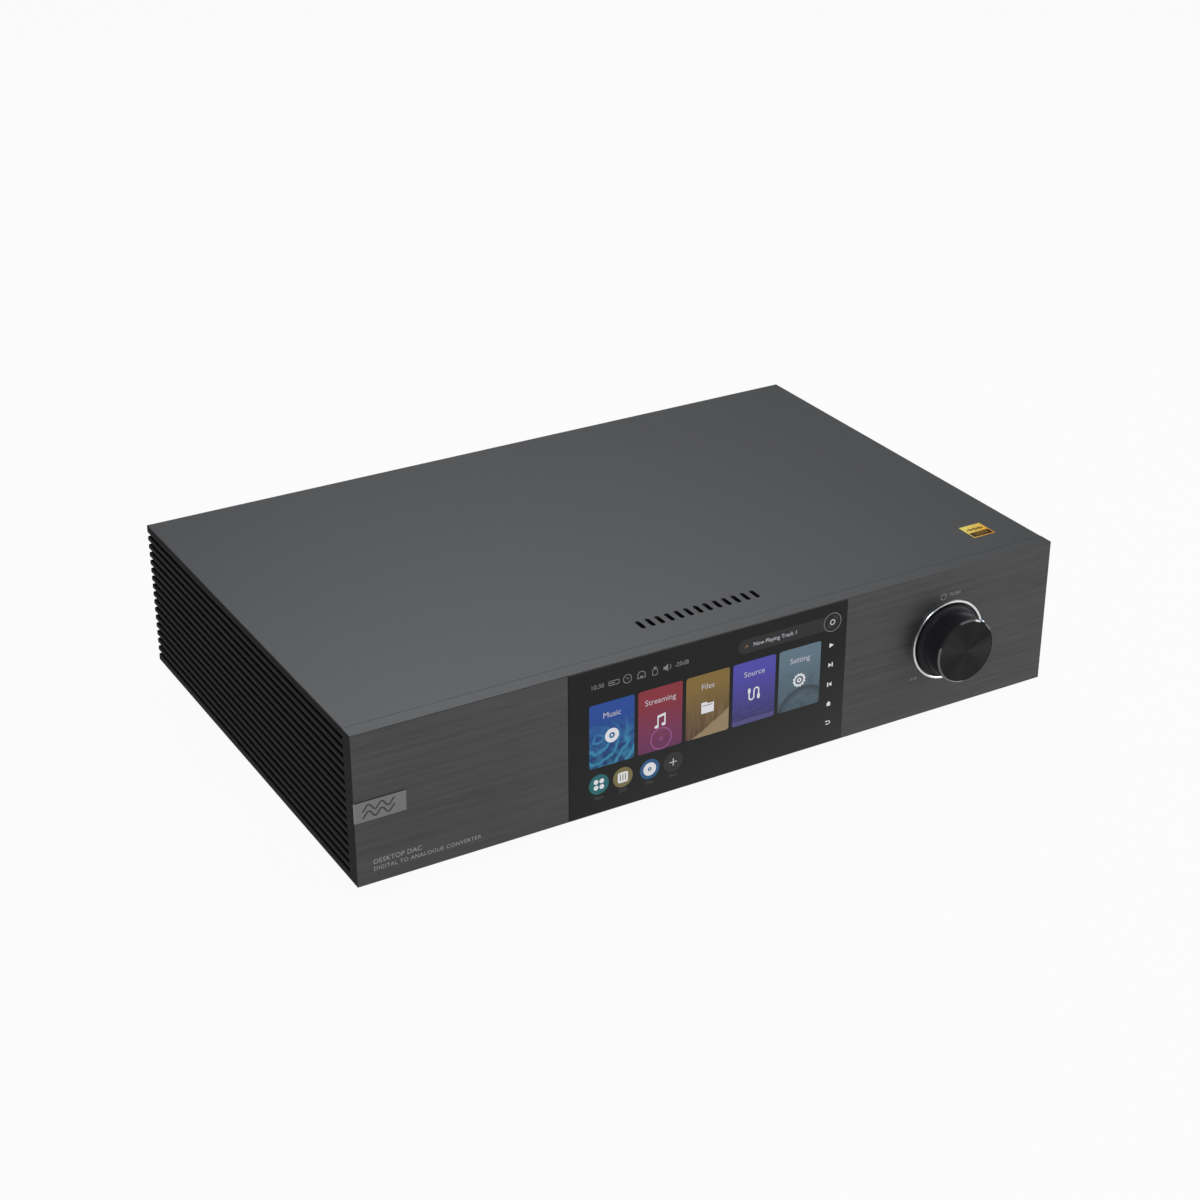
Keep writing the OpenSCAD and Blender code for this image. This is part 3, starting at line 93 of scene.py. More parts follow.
class Look:
    """A material under construction: its node tree, its shader and short calls for its nodes."""

    def __init__(self, name, **sockets):
        self.material = bpy.data.materials.new(name)
        self.material.use_nodes = True
        self.tree = self.material.node_tree
        self.shader = self.tree.nodes["Principled BSDF"]
        self.place = self.node("TexCoord").outputs["Object"]
        self.set(**sockets)

    def set(self, **sockets):
        """Sets shader sockets by name, with _ for a space, to a number, a colour or another node's output."""
        for key, value in sockets.items():
            self.put(self.shader.inputs[key.replace("_", " ")], value)

    def put(self, socket, value):
        if isinstance(value, bpy.types.NodeSocket):
            self.tree.links.new(value, socket)
        else:
            socket.default_value = value

    def node(self, kind, inputs=None, **settings):
        made = self.tree.nodes.new("ShaderNode" + kind)
        for key, value in settings.items():
            setattr(made, key, value)
        for key, value in (inputs or {}).items():
            self.put(made.inputs[key], value)
        return made

    def mapped(self, scale=(1, 1, 1), offset=(0, 0, 0), turn=(0, 0, 0)):
        """The object's own coordinates, in millimetres divided by scale."""
        spread = tuple(1 / (MM * s) for s in scale)
        inputs = {"Vector": self.place, "Scale": spread, "Location": offset, "Rotation": turn}
        return self.node("Mapping", inputs).outputs["Vector"]

    def noise(self, size, detail=3.0, roughness=0.5, distortion=0.0):
        """Noise with grains of size (x, y, z) millimetres."""
        inputs = {"Vector": self.mapped(size), "Scale": 1.0, "Detail": detail}
        inputs.update({"Roughness": roughness, "Distortion": distortion})
        return self.node("TexNoise", inputs).outputs["Fac"]

    def math(self, operation, first, second=0.0, third=0.0):
        made = self.node("Math", operation=operation)
        for socket, value in zip(made.inputs, (first, second, third)):
            self.put(socket, value)
        return made.outputs["Value"]

    def spread(self, value, low, high, start=0.0, stop=1.0):
        """value from start..stop mapped to low..high, and held there."""
        inputs = {"Value": value, "From Min": start, "From Max": stop, "To Min": low, "To Max": high}
        return self.node("MapRange", inputs).outputs["Result"]

    def mix(self, factor, first, second):
        made = self.node("Mix", data_type="RGBA")
        colours = [s for s in made.inputs if s.type == "RGBA"]
        self.put(made.inputs[0], factor)
        self.put(colours[0], first)
        self.put(colours[1], second)
        return [s for s in made.outputs if s.type == "RGBA"][0]

    def axis(self, vector, name):
        return self.node("SeparateXYZ", {"Vector": vector}).outputs[name]

    def bump(self, height, strength, depth):
        """A normal from height, where depth is in millimetres."""
        inputs = {"Height": height, "Strength": strength, "Distance": depth * MM}
        return self.node("Bump", inputs).outputs["Normal"]


def surface(name, colour, metallic=0.0, roughness=0.5, grain=(0.6, 0.6, 0.6), spread=0.1, relief=0.12,
            depth=0.04, polish=0.06, cloud=30, **sockets):
    """A finish with a fine grain in colour, gloss and relief, over slow clouds of handling and age."""
    look = Look(name, Metallic=metallic, **sockets)
    fine = look.noise(grain)
    slow = look.noise((cloud, cloud, cloud), 2)
    tone = look.math("MULTIPLY_ADD", slow, 0.5, look.math("MULTIPLY", fine, 0.5))
    look.set(Base_Color=look.mix(tone, scaled(colour, 1 - spread), scaled(colour, 1 + spread)))
    look.set(Roughness=look.spread(tone, roughness - polish, roughness + polish, 0.3, 0.7))
    look.set(Normal=look.bump(fine, relief, depth))
    return look


def glow(name, colour, strength=1.0):
    """A lit part of the display under its glossy cover glass."""
    look = Look(name, Emission_Color=colour, Emission_Strength=strength)
    look.set(Specular_IOR_Level=GLASS_SPECULAR)
    dots = look.noise((0.09, 0.09, 0.09), 1)
    look.set(Base_Color=look.mix(dots, (0.004, 0.004, 0.004, 1), (0.01, 0.01, 0.01, 1)))
    look.set(Roughness=look.spread(dots, 0.05, 0.09))
    return look


def case_finish(name, colour, lit_top_colour, shaded_end_colour, grain, spread, roughness, relief, depth):
    """Anodised aluminium with painted top light on faces that look up and painted shade on the cut ends."""
    look = Look(name)
    fine = look.noise(grain, 4, 0.6)
    coarse = look.noise(tuple(g * 6 for g in grain), 2)
    slow = look.noise((60, 60, 60), 2)
    tone = look.math("MULTIPLY_ADD", coarse, 0.35, look.math("MULTIPLY", fine, 0.45))
    tone = look.math("MULTIPLY_ADD", slow, 0.2, tone)
    tone = look.spread(tone, 0, 1, 0.3, 0.7)
    skin = look.mix(tone, scaled(colour, 1 - spread), scaled(colour, 1 + spread))
    normal = look.node("TexCoord").outputs["Normal"]
    # faces that look up take the lit top colour: painted top light
    upward = look.spread(look.axis(normal, "Z"), 0, 1, 0.8, 0.95)
    skin = look.mix(upward, skin, look.mix(fine, scaled(lit_top_colour, 0.95), scaled(lit_top_colour, 1.05)))
    # cut ends, facing sideways, are painted darker: painted shade
    across = look.math("ABSOLUTE", look.axis(normal, "X"))
    end_shade_mask = look.spread(across, 0, 1, 0.8, 0.95)
    look.set(Base_Color=look.mix(end_shade_mask, skin, shaded_end_colour))
    look.set(Metallic=look.spread(end_shade_mask, 0.85, 0), IOR=1.05)
    gloss = look.spread(tone, -0.05, 0.05)
    look.set(Roughness=look.math("ADD", gloss, look.spread(upward, roughness, COVER_ROUGHNESS)))
    look.set(Normal=look.bump(look.math("MULTIPLY_ADD", coarse, 0.4, fine), relief, depth))
    return look


def spun_finish(name, colour):
    """A lathe-turned face: rings about the knob's axis, and a painted highlight that fans out from the
    middle.
    """
    look = Look(name, Metallic=1.0, Anisotropic=0.78)
    look.set(Tangent=look.node("Tangent", direction_type="RADIAL", axis="Y").outputs["Tangent"])
    middle = (knob_low + knob_high) / 2 / MM
    centred = look.mapped((1, 1, 1), (-middle.x, 0, -middle.z))
    flat_place = look.node("VectorMath", {0: centred, 1: (1, 0, 1)}, operation="MULTIPLY").outputs["Vector"]
    radius = look.node("VectorMath", {0: flat_place}, operation="LENGTH").outputs["Value"]
    radial = look.node("CombineXYZ", {"X": look.math("MULTIPLY", radius, 6.0)}).outputs["Vector"]
    rings = look.node("TexNoise", {"Vector": radial, "Scale": 1.0, "Detail": 3.0}).outputs["Fac"]
    # painted highlight: streaks in the base colour that fan out from the middle
    direction = look.node("VectorMath", {0: flat_place}, operation="NORMALIZE").outputs["Vector"]
    painted_fan_inputs = {"Vector": direction, "Scale": 1.5, "Detail": 4.0, "Roughness": 0.6}
    painted_fan_streaks = look.node("TexNoise", painted_fan_inputs).outputs["Fac"]
    rings_and_fan_streaks = look.math("ADD", look.math("MULTIPLY", rings, 0.3), look.math("MULTIPLY", painted_fan_streaks, 0.7))
    rings_and_fan_streaks = look.spread(rings_and_fan_streaks, 0, 1, 0.38, 0.62)
    look.set(Base_Color=look.mix(rings_and_fan_streaks, scaled(colour, 0.74), scaled(colour, 1.3)))
    look.set(Roughness=look.spread(rings, 0.3, 0.42, 0.3, 0.7))
    look.set(Normal=look.bump(rings, 0.25, 0.02))
    return look


def fin_finish():
    """Matt black extrusion, drawn lengthwise, with painted shade down in its grooves."""
    look = Look("fin_anodised", IOR=1.05)
    drawn = look.noise((0.3, 22, 0.3))
    across = look.math("ABSOLUTE", look.axis(look.place, "X"))
    outer = look.spread(across, 0, 1, case_high.x - 1.1 * MM, case_high.x - 0.3 * MM)
    sawn = look.math("ABSOLUTE", look.axis(look.node("TexCoord").outputs["Normal"], "Y"))
    outer = look.math("MAXIMUM", outer, sawn)
    skin = look.mix(drawn, linear(46, 46, 46), linear(53, 53, 53))
    # below the outer face the grooves are painted dark: painted shade
    look.set(Base_Color=look.mix(outer, linear(20, 20, 20), skin))
    look.set(Roughness=look.spread(drawn, 0.5, 0.62, 0.3, 0.7))
    look.set(Normal=look.bump(drawn, 0.2, 0.02))
    return look


def knob_finish():
    """Satin black anodising over fine turning marks, with a bright-cut bevel round the front edge."""
    look = Look("knob_anodised", IOR=1.14)
    turned = look.noise((8, 0.12, 8), 2)
    slow = look.noise((20, 20, 20), 2)
    normal = look.node("TexCoord").outputs["Normal"]
    facing = look.math("ABSOLUTE", look.math("ADD", look.axis(normal, "Y"), 0.7))
    near = look.math("LESS_THAN", look.axis(look.place, "Y"), knob_low.y + 0.9 * MM)
    bevel = look.math("MULTIPLY", look.math("LESS_THAN", facing, 0.25), near)
    satin = look.mix(slow, linear(37, 37, 40), linear(44, 44, 47))
    look.set(Base_Color=look.mix(bevel, satin, linear(96, 96, 98)))
    look.set(Metallic=look.math("MULTIPLY", bevel, 0.95))
    gloss = look.math("MULTIPLY_ADD", turned, 0.08, 0.28)
    look.set(Roughness=look.math("MULTIPLY_ADD", bevel, -0.22, gloss))
    look.set(Normal=look.bump(turned, 0.12, 0.01))
    return look


def glass_finish():
    """Black-backed cover glass with the faint smears of fingers on a touch display, and a painted sheen low
    on the right.
    """
    look = Look("cover_glass", IOR=1.5, Specular_IOR_Level=GLASS_SPECULAR)
    smear = look.noise((26, 26, 14), 4, 0.6, 1.2)
    look.set(Base_Color=look.mix(smear, (0.0035, 0.0036, 0.0038, 1), (0.006, 0.006, 0.0062, 1)))
    look.set(Roughness=look.spread(smear, 0.03, 0.1, 0.4, 0.75))
    # painted sheen: a faint glow that grows towards the glass's lower right
    low, high = glass_low / MM, glass_high / MM
    place = look.mapped()
    rightward = look.spread(look.axis(place, "X"), 0.15, 1, low.x, high.x)
    downward = look.spread(look.axis(place, "Z"), 1, 0, low.z, low.z + 52)
    painted_sheen = look.math("MULTIPLY", rightward, downward)
    look.set(Emission_Color=look.mix(painted_sheen, (0, 0, 0, 1), (0.017, 0.017, 0.017, 1)), Emission_Strength=1.0)
    return look


def foil_finish():
    """Gold foil that turns from pale to deep gold across the label."""
    look = Look("gold_foil", Metallic=0.2, Specular_IOR_Level=0.15)
    middle = (foil_low + foil_high) / 2 / MM
    place = look.mapped((13, 13, 13), (-middle.x / 13, -middle.y / 13, 0))
    slope = look.math("SUBTRACT", look.axis(place, "X"), look.axis(place, "Y"))
    shine = look.noise((3, 9, 3), 2)
    tone = look.math("MULTIPLY_ADD", shine, 0.25, look.spread(slope, 0, 0.8, -0.6, 0.7))
    look.set(Base_Color=look.mix(tone, linear(255, 240, 128), linear(250, 164, 0)))
    look.set(Roughness=look.spread(shine, 0.28, 0.4))
    look.set(Normal=look.bump(look.noise((0.4, 0.4, 0.4)), 0.1, 0.02))
    return look


def collar_finish():
    """Phono sockets' collars: white above and red below for sound, orange for digital."""
    look = surface("phono_collars", (0.8, 0.8, 0.8, 1), roughness=0.4, spread=0.03)
    place = look.mapped()
    upper = look.math("GREATER_THAN", look.axis(place, "Z"), (rear_low.z / MM) + 38)
    sound = look.math("GREATER_THAN", look.axis(place, "X"), 90)
    worn = look.noise((0.5, 0.5, 0.5))
    pair = look.mix(upper, linear(178, 20, 22), linear(232, 232, 226))
    digital = look.mix(worn, linear(214, 108, 12), linear(228, 120, 18))
    look.set(Base_Color=look.mix(sound, digital, pair))
    return look


def board_finish(name, mask, copper):
    """Printed board: solder mask over tracks that run in steps, with a weave under it."""
    look = Look(name, Metallic=0.1)
    cells = look.node("TexBrick", {"Vector": look.mapped((5, 5, 5)), "Scale": 1.0, "Mortar Size": 0.035},
                      offset=0.37, squash=0.6, squash_frequency=3)
    tracks = look.math("GREATER_THAN", look.noise((7, 2.2, 3), 1), 0.52)
    lines = look.math("MULTIPLY", cells.outputs["Fac"], tracks)
    look.set(Base_Color=look.mix(lines, mask, copper))
    look.set(Roughness=look.spread(look.noise((0.8, 0.8, 0.8)), 0.3, 0.45))
    look.set(Normal=look.bump(lines, 0.3, 0.03))
    return look


def coil_finish():
    """Enamelled winding: turns that pass round the ring, seen as close radial ribs."""
    look = Look("coil_winding", Metallic=0.2, Coat_Weight=0.5)
    low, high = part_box("power_transformer")
    middle = (low + high) / 2 / MM
    centred = look.mapped((1, 1, 1), (-middle.x, -middle.y, 0))
    x, y = look.axis(centred, "X"), look.axis(centred, "Y")
    turns = look.math("SINE", look.math("MULTIPLY", look.math("ARCTAN2", y, x), 180))
    # painted highlight on each turn's crown and painted shade between the turns
    crown_highlight = look.spread(turns, 0, 1, -1, 1)
    look.set(Base_Color=look.mix(crown_highlight, linear(120, 62, 14), linear(196, 122, 40)))
    look.set(Roughness=look.spread(look.noise((2, 2, 2)), 0.3, 0.45))
    look.set(Normal=look.bump(turns, 0.6, 0.2))
    return look


def card_finish(name, top, bottom, accent, pattern):
    """A card's picture: a fade from top to bottom with a drawn pattern that is strongest low down."""
    look = Look(name, Base_Color=(0.006, 0.006, 0.007, 1), Roughness=0.06, Emission_Strength=1.0)
    look.set(Specular_IOR_Level=GLASS_SPECULAR)
    place = look.mapped()
    height = look.axis(place, "Y")
    fade = look.spread(height, 1, 0, -CARD_H / 2, CARD_H / 2 - 6)
    ground = look.mix(fade, top, bottom)
    marks = look.math("MULTIPLY", pattern(look), look.spread(fade, 0, 1, 0.1, 0.6))
    look.set(Emission_Color=look.mix(marks, ground, accent))
    return look


def waves(look):
    """Curling crests, like water."""
    inputs = {"Vector": look.mapped((15, 15, 15), (0.5, 0.15, 0)), "Scale": 1.0, "Distortion": 5.5}
    inputs.update({"Detail": 3.0, "Detail Scale": 1.6, "Detail Roughness": 0.6})
    band = look.node("TexWave", inputs, wave_type="RINGS", rings_direction="Z").outputs["Fac"]
    crest = look.spread(band, 0, 0.55, 0.55, 1.0)
    swell = look.spread(look.noise((6, 5, 6), 3), 0, 0.45, 0.42, 0.7)
    return look.math("MAXIMUM", crest, swell)


def rings(look):
    """A ring and a soft cone about a point low in the card, like a loudspeaker."""
    centred = look.mapped((1, 1, 1), (-0.6, 11, 0))
    radius = look.node("VectorMath", {0: centred}, operation="LENGTH").outputs["Value"]
    rim = look.math("MULTIPLY", look.math("COMPARE", radius, 5.6, 0.35), 0.7)
    cone = look.spread(radius, 0.6, 0.14, 0.6, 1.8)
    box = look.spread(radius, 0.12, 0, 11.6, 12)
    return look.math("MAXIMUM", look.math("MAXIMUM", rim, look.math("MULTIPLY", cone, 0.7)), box)


def dunes(look):
    """A bright slope of sand in front of wind-blown streaks."""
    across, up = look.axis(look.mapped(), "X"), look.axis(look.mapped(), "Y")
    wind = look.math("MULTIPLY", look.noise((9, 9, 9), 2), 3.0)
    slope = look.math("ADD", look.math("MULTIPLY_ADD", across, 0.55, wind), -1.5)
    crest = look.spread(look.math("SUBTRACT", slope, up), 0, 0.95, 11.5, 12.2)
    streaks = look.spread(look.noise((2.2, 16, 5), 2), 0, 0.3, 0.4, 0.7)
    return look.math("MAXIMUM", crest, streaks)


def strata(look):
    """Level streaks, like a far shore, above a lighter strip."""
    streaks = look.spread(look.noise((9, 0.9, 5), 4, 0.6), 0, 0.6, 0.45, 0.68)
    strip = look.spread(look.axis(look.mapped(), "Y"), 0.9, 0, -14.6, -14.1)
    return look.math("MAXIMUM", streaks, strip)


def hill(look):
    """The dark rim of one round hill under cloud."""
    centred = look.mapped((1, 1, 1), (-3, 21, 0))
    radius = look.node("VectorMath", {0: centred}, operation="LENGTH").outputs["Value"]
    within, rim = look.spread(radius, 1, 0, 15.3, 16.2), look.spread(radius, 0, 0.75, 11, 15)
    ridge = look.math("MULTIPLY", within, rim)
    cloud = look.spread(look.noise((5, 4, 5), 4), 0, 0.45, 0.5, 0.66)
    return look.math("MAXIMUM", ridge, cloud)


# ---------------------------------------------------------------- outlines, in millimetres


def circle(r, x=0.0, z=0.0, count=40):
    return [(x + r * math.cos(k * 2 * math.pi / count), z + r * math.sin(k * 2 * math.pi / count))
            for k in range(count)]


def arc(r, start, stop, x=0.0, z=0.0, count=16):
    """Points of an arc between two angles in degrees."""
    angles = [math.radians(start + (stop - start) * k / count) for k in range(count + 1)]
    return [(x + r * math.cos(a), z + r * math.sin(a)) for a in angles]


def rounded(width, height, r, x=0.0, z=0.0):
    """A rectangle about (x, z) with round corners."""
    w, h = width / 2 - r, height / 2 - r
    corners = [(w, h, 0), (-w, h, 90), (-w, -h, 180), (w, -h, 270)]
    return [p for cx, cz, a in corners for p in arc(r, a, a + 90, x + cx, z + cz, 6)]


def stroke(points, width):
    """The outline of a line of even width along points."""
    left, right = [], []
    for k, (x, z) in enumerate(points):
        before, after = points[max(k - 1, 0)], points[min(k + 1, len(points) - 1)]
        dx, dz = after[0] - before[0], after[1] - before[1]
        size = math.hypot(dx, dz)
        nx, nz = -dz / size * width / 2, dx / size * width / 2
        left.append((x + nx, z + nz))
        right.append((x - nx, z - nz))
    return left + right[::-1]


def gear(r, tooth, count):
    """A toothed wheel's outline."""
    points = []
    for k in range(count):
        for share, radius in ((0.0, r), (0.22, r + tooth), (0.5, r + tooth), (0.72, r)):
            a = (k + share) * 2 * math.pi / count
            points.append((radius * math.cos(a), radius * math.sin(a)))
    return points


def moved(outline, x, z, size=1.0):
    return [(x + px * size, z + pz * size) for px, pz in outline]


# ---------------------------------------------------------------- pieces


def place(piece, where, facing, look, slot, body):
    piece.location = where
    piece.rotation_euler = FACING[facing]
    piece.data.materials.append(look.material)
    bpy.context.scene.collection.objects.link(piece)
    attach(piece, body)
    return piece


def flat(name, outlines, where, look, slot="screen", facing="front", body="chassis", thick=INK):
    """A thin plate with these outlines, where an outline inside another is a hole."""
    curve = bpy.data.curves.new(name, "CURVE")
    curve.dimensions = "2D"
    curve.fill_mode = "BOTH"
    curve.extrude = thick / 2 * MM
    for outline in outlines:
        spline = curve.splines.new("POLY")
        spline.points.add(len(outline) - 1)
        for point, (x, z) in zip(spline.points, outline):
            point.co = (x * MM, z * MM, 0, 1)
        spline.use_cyclic_u = True
    return place(bpy.data.objects.new(name, curve), where, facing, look, slot, body)


def words(name, text, where, height, look, slot="screen", facing="front", align="CENTER", spacing=1.0):
    """Generic lettering whose capitals are height millimetres tall."""
    curve = bpy.data.curves.new(name, "FONT")
    curve.body = text
    curve.size = height * MM / FONT_CAPITAL
    curve.space_character = spacing
    curve.align_x = align
    curve.align_y = "CENTER"
    curve.resolution_u = 4
    curve.extrude = INK / 2 * MM
    return place(bpy.data.objects.new(name, curve), where, facing, look, slot, "chassis")


def on_glass(x, z, layer):
    """A place on the display, layer sheets of ink in front of the glass."""
    return Vector((x * MM, glass_low.y - layer * INK * MM, case_low.z + z * MM))


def on_front(x, z):
    return Vector((x * MM, case_low.y - INK / 2 * MM, case_low.z + z * MM))


def on_back(x, z):
    return Vector((x * MM, rear_high.y + INK / 2 * MM, case_low.z + z * MM))


# ---------------------------------------------------------------- display

CARD_W, CARD_H, CARD_R = 24.2, 33.8, 1.3
CARD_X, CARD_PITCH, CARD_Z = -63.0, 26.2, 41.9
ICON_Z, TITLE_Z, TITLE_H = 40.5, 51.8, 3.05
SIDE_X, SIDE_Z, SIDE_PITCH, SIDE_SCALE = 60.0, 54.7, 10.8, 0.85
STATUS_Z, STATUS_H = 68.0, 2.35
ROUND_Z, ROUND_R = 15.9, 5.35
CAPTION_Z, CAPTION_H = 8.7, 1.8
PILL_X, PILL_Z, PILL_W, PILL_H = 32.9, 67.3, 54.4, 7.6
RECORD_X, SONG_X, SONG_MARK_X, SONG_H = 60.0, 27.0, 10.6, 2.15

white = glow("ui_white", linear(212, 212, 216))
pale = glow("ui_pale", linear(180, 177, 186))
grey = glow("ui_grey", linear(118, 118, 120))
dim = glow("ui_dim", linear(70, 70, 72))
pill_grey = glow("ui_pill", linear(30, 30, 31))
orange = glow("ui_orange", linear(150, 102, 46))


def disc_icon():
    return [circle(3.75), circle(1.55), circle(0.6, count=16)]


def note_stems():
    left, right = [(-1.6, -2.3), (-0.9, -2.3), (-0.9, 1.9)], [(2.2, 2.5), (2.2, -1.6), (2.9, -1.6)]
    return [left + right + [(2.9, 3.9), (-1.6, 3.1)]]


def note_heads():
    head = [(1.15 * x, 0.85 * z) for x, z in circle(1)]
    return [moved(head, -2.0, -2.7), moved(head, 1.8, -2.0)]


def folder_icon():
    body = [(-3.5, -3.0), (3.5, -3.0), (3.5, 2.1), (0.1, 2.1), (-0.6, 3.0), (-3.5, 3.0)]
    return [body, rounded(5.4, 0.4, 0.15, 0, 1.1)]


def lead_icon():
    path = [(-2.7, 0.6), (-2.7, -1.6)] + arc(1.35, 180, 360, -1.35, -1.6)
    path += [(0, 1.6)] + arc(1.35, 180, 0, 1.35, 1.6) + [(2.7, -0.6)]
    plugs = [rounded(1.5, 2.7, 0.6, -2.7, 2.0), rounded(1.5, 2.7, 0.6, 2.7, -2.0)]
    return [stroke(path, 0.75)] + plugs


def gear_icon():
    return [gear(3.2, 0.55, 12), circle(2.35), circle(1.3), circle(0.55, count=16)]


def card(number, name, title, top, bottom, accent, pattern, glyphs):
    x = CARD_X + number * CARD_PITCH
    picture = card_finish("card_" + name, top, bottom, accent, pattern)
    flat("ui_card_" + name, [rounded(CARD_W, CARD_H, CARD_R)], on_glass(x, CARD_Z, 1), picture)
    words("ui_title_" + name, title, on_glass(x, TITLE_Z, 3), TITLE_H, pale)
    for layer, (part, outlines) in enumerate(glyphs.items()):
        flat("ui_icon_" + part, outlines, on_glass(x, ICON_Z, 3 + layer), white)


card(0, "music", "Music", linear(26, 66, 140), linear(8, 50, 92), linear(62, 158, 190), waves,
     {"disc": disc_icon()})
card(1, "streaming", "Streaming", linear(126, 40, 50), linear(80, 32, 64), linear(150, 84, 146), rings,
     {"note_stems": note_stems(), "note_heads": note_heads()})
card(2, "files", "Files", linear(119, 96, 46), linear(72, 46, 36), linear(140, 122, 90), dunes,
     {"folder": folder_icon()})
card(3, "source", "Source", linear(71, 66, 156), linear(44, 40, 88), linear(76, 72, 122), strata,
     {"lead": lead_icon()})
card(4, "setting", "Setting", linear(87, 108, 121), linear(66, 82, 92), linear(36, 46, 52), hill,
     {"gear": gear_icon()})

side_icons = {
    "play": [[(-1.3, -1.5), (1.7, 0), (-1.3, 1.5)]],
    "next": [[(-1.4, -1.4), (0.7, 0), (-1.4, 1.4)], rounded(0.8, 2.8, 0.1, 1.25, 0)],
    "previous": [[(1.4, -1.4), (-0.7, 0), (1.4, 1.4)], rounded(0.8, 2.8, 0.1, -1.25, 0)],
    "home": [[(-1.6, -0.1), (-1.2, -0.1), (-1.2, -1.5), (1.2, -1.5), (1.2, -0.1), (1.6, -0.1), (0, 1.6)]],
    "back": [stroke([(-0.7, 1.0), (0.6, 1.0)] + arc(0.95, 90, -90, 0.6, 0.05) + [(-1.4, -0.9)], 0.5),
             [(-0.8, 0.3), (-0.8, 1.7), (-1.8, 1.0)]],
}
for number, (name, outlines) in enumerate(side_icons.items()):
    outlines = [moved(outline, 0, 0, SIDE_SCALE) for outline in outlines]
    flat("ui_side_" + name, outlines, on_glass(SIDE_X, SIDE_Z - number * SIDE_PITCH, 1), white)

status_icons = {
    "drive": (-62.0, [rounded(5.8, 2.5, 0.7), rounded(5.1, 1.8, 0.4), rounded(2.4, 0.5, 0.2, -0.8, 0)]),
    "clock_face": (-54.8, [circle(2.35), circle(2.0), stroke([(-0.8, 0.9), (0, -0.2), (1.0, 0.5)], 0.35)]),
    "network": (-47.3, [[(-2.2, -1.8), (2.2, -1.8), (2.2, 0.5), (1.1, 1.9), (-1.1, 1.9), (-2.2, 0.5)],
                        [(-1.8, -1.4), (1.8, -1.4), (1.8, 0.35), (0.9, 1.5), (-0.9, 1.5), (-1.8, 0.35)],
                        rounded(1.6, 0.6, 0.2, 0, -0.9)]),
    "stick": (-40.0, [rounded(3.0, 3.3, 0.7, 0, -0.6), rounded(2.3, 2.6, 0.4, 0, -0.6),
                      rounded(1.6, 0.9, 0.2, 0, 1.7)]),
    "speaker": (-33.4, [[(-2.0, -0.8), (-0.9, -0.8), (0.5, -2.0), (0.5, 2.0), (-0.9, 0.8), (-2.0, 0.8)],
                        stroke(arc(1.7, -45, 45, 0.3, 0), 0.35)]),
}
for name, (x, outlines) in status_icons.items():
    flat("ui_status_" + name, outlines, on_glass(x, STATUS_Z, 1), grey)
words("ui_clock", "10:30", on_glass(-70.8, STATUS_Z, 1), STATUS_H, grey)
words("ui_level", "-20dB", on_glass(-25.4, STATUS_Z, 1), STATUS_H, grey)

flat("ui_song_pill", [rounded(PILL_W, PILL_H, PILL_H / 2)], on_glass(PILL_X, PILL_Z, 1), pill_grey)
song_mark = [(-1.4, -0.8), (-0.6, -0.2), (0.0, 0.9), (0.4, 0.1), (1.4, -0.5), (0.3, -0.4), (-0.1, 0.1),
             (-0.5, -0.7)]
flat("ui_song_mark", [song_mark], on_glass(SONG_MARK_X, PILL_Z, 3), orange)
words("ui_song_title", "Now Playing Track 1", on_glass(SONG_X, PILL_Z, 3), SONG_H, pale)
flat("ui_record_face", [circle(4.9)], on_glass(RECORD_X, PILL_Z, 3), glow("ui_record", linear(16, 16, 17)))
flat("ui_record_rim", [circle(5.1, count=64), circle(4.75, count=64)], on_glass(RECORD_X, PILL_Z, 5), grey)
flat("ui_record_hub", [circle(1.55), circle(0.95)], on_glass(RECORD_X, PILL_Z, 5), pale)
flat("ui_record_shine", [stroke(arc(3.1, 20, 75), 0.25), stroke(arc(3.1, 200, 255), 0.25),
                         stroke(arc(2.3, 30, 65), 0.2), stroke(arc(2.3, 210, 245), 0.2)],
     on_glass(RECORD_X, PILL_Z, 5), dim)

round_icons = [
    ("apps", "Apps", -70.0, linear(25, 93, 98),
     [circle(1.25, x, z) for x in (-1.55, 1.55) for z in (-1.55, 1.55)]),
    ("dsp", "DSP", -57.0, linear(110, 101, 63),
     [rounded(5.6, 5.6, 1.1)] + [rounded(0.5, 3.6, 0.2, x, 0) for x in (-1.4, 0, 1.4)]),
    ("disc", "Disc", -42.3, linear(34, 80, 122), [circle(3.5), circle(1.0), circle(0.4, count=16)]),
    ("add", "Add", -29.3, linear(38, 38, 38),
     [[(-0.25, -2.0), (0.25, -2.0), (0.25, -0.25), (2.0, -0.25), (2.0, 0.25), (0.25, 0.25), (0.25, 2.0),
       (-0.25, 2.0), (-0.25, 0.25), (-2.0, 0.25), (-2.0, -0.25), (-0.25, -0.25)]]),
]
for name, caption, x, colour, outlines in round_icons:
    disc = glow("ui_disc_" + name, colour)
    flat("ui_round_" + name, [circle(ROUND_R, count=64)], on_glass(x, ROUND_Z, 1), disc)
    flat("ui_glyph_" + name, outlines, on_glass(x, ROUND_Z, 3), white if name != "add" else pale)
    words("ui_caption_" + name, caption, on_glass(x, CAPTION_Z, 1), CAPTION_H, dim)


# ---------------------------------------------------------------- printing on the case

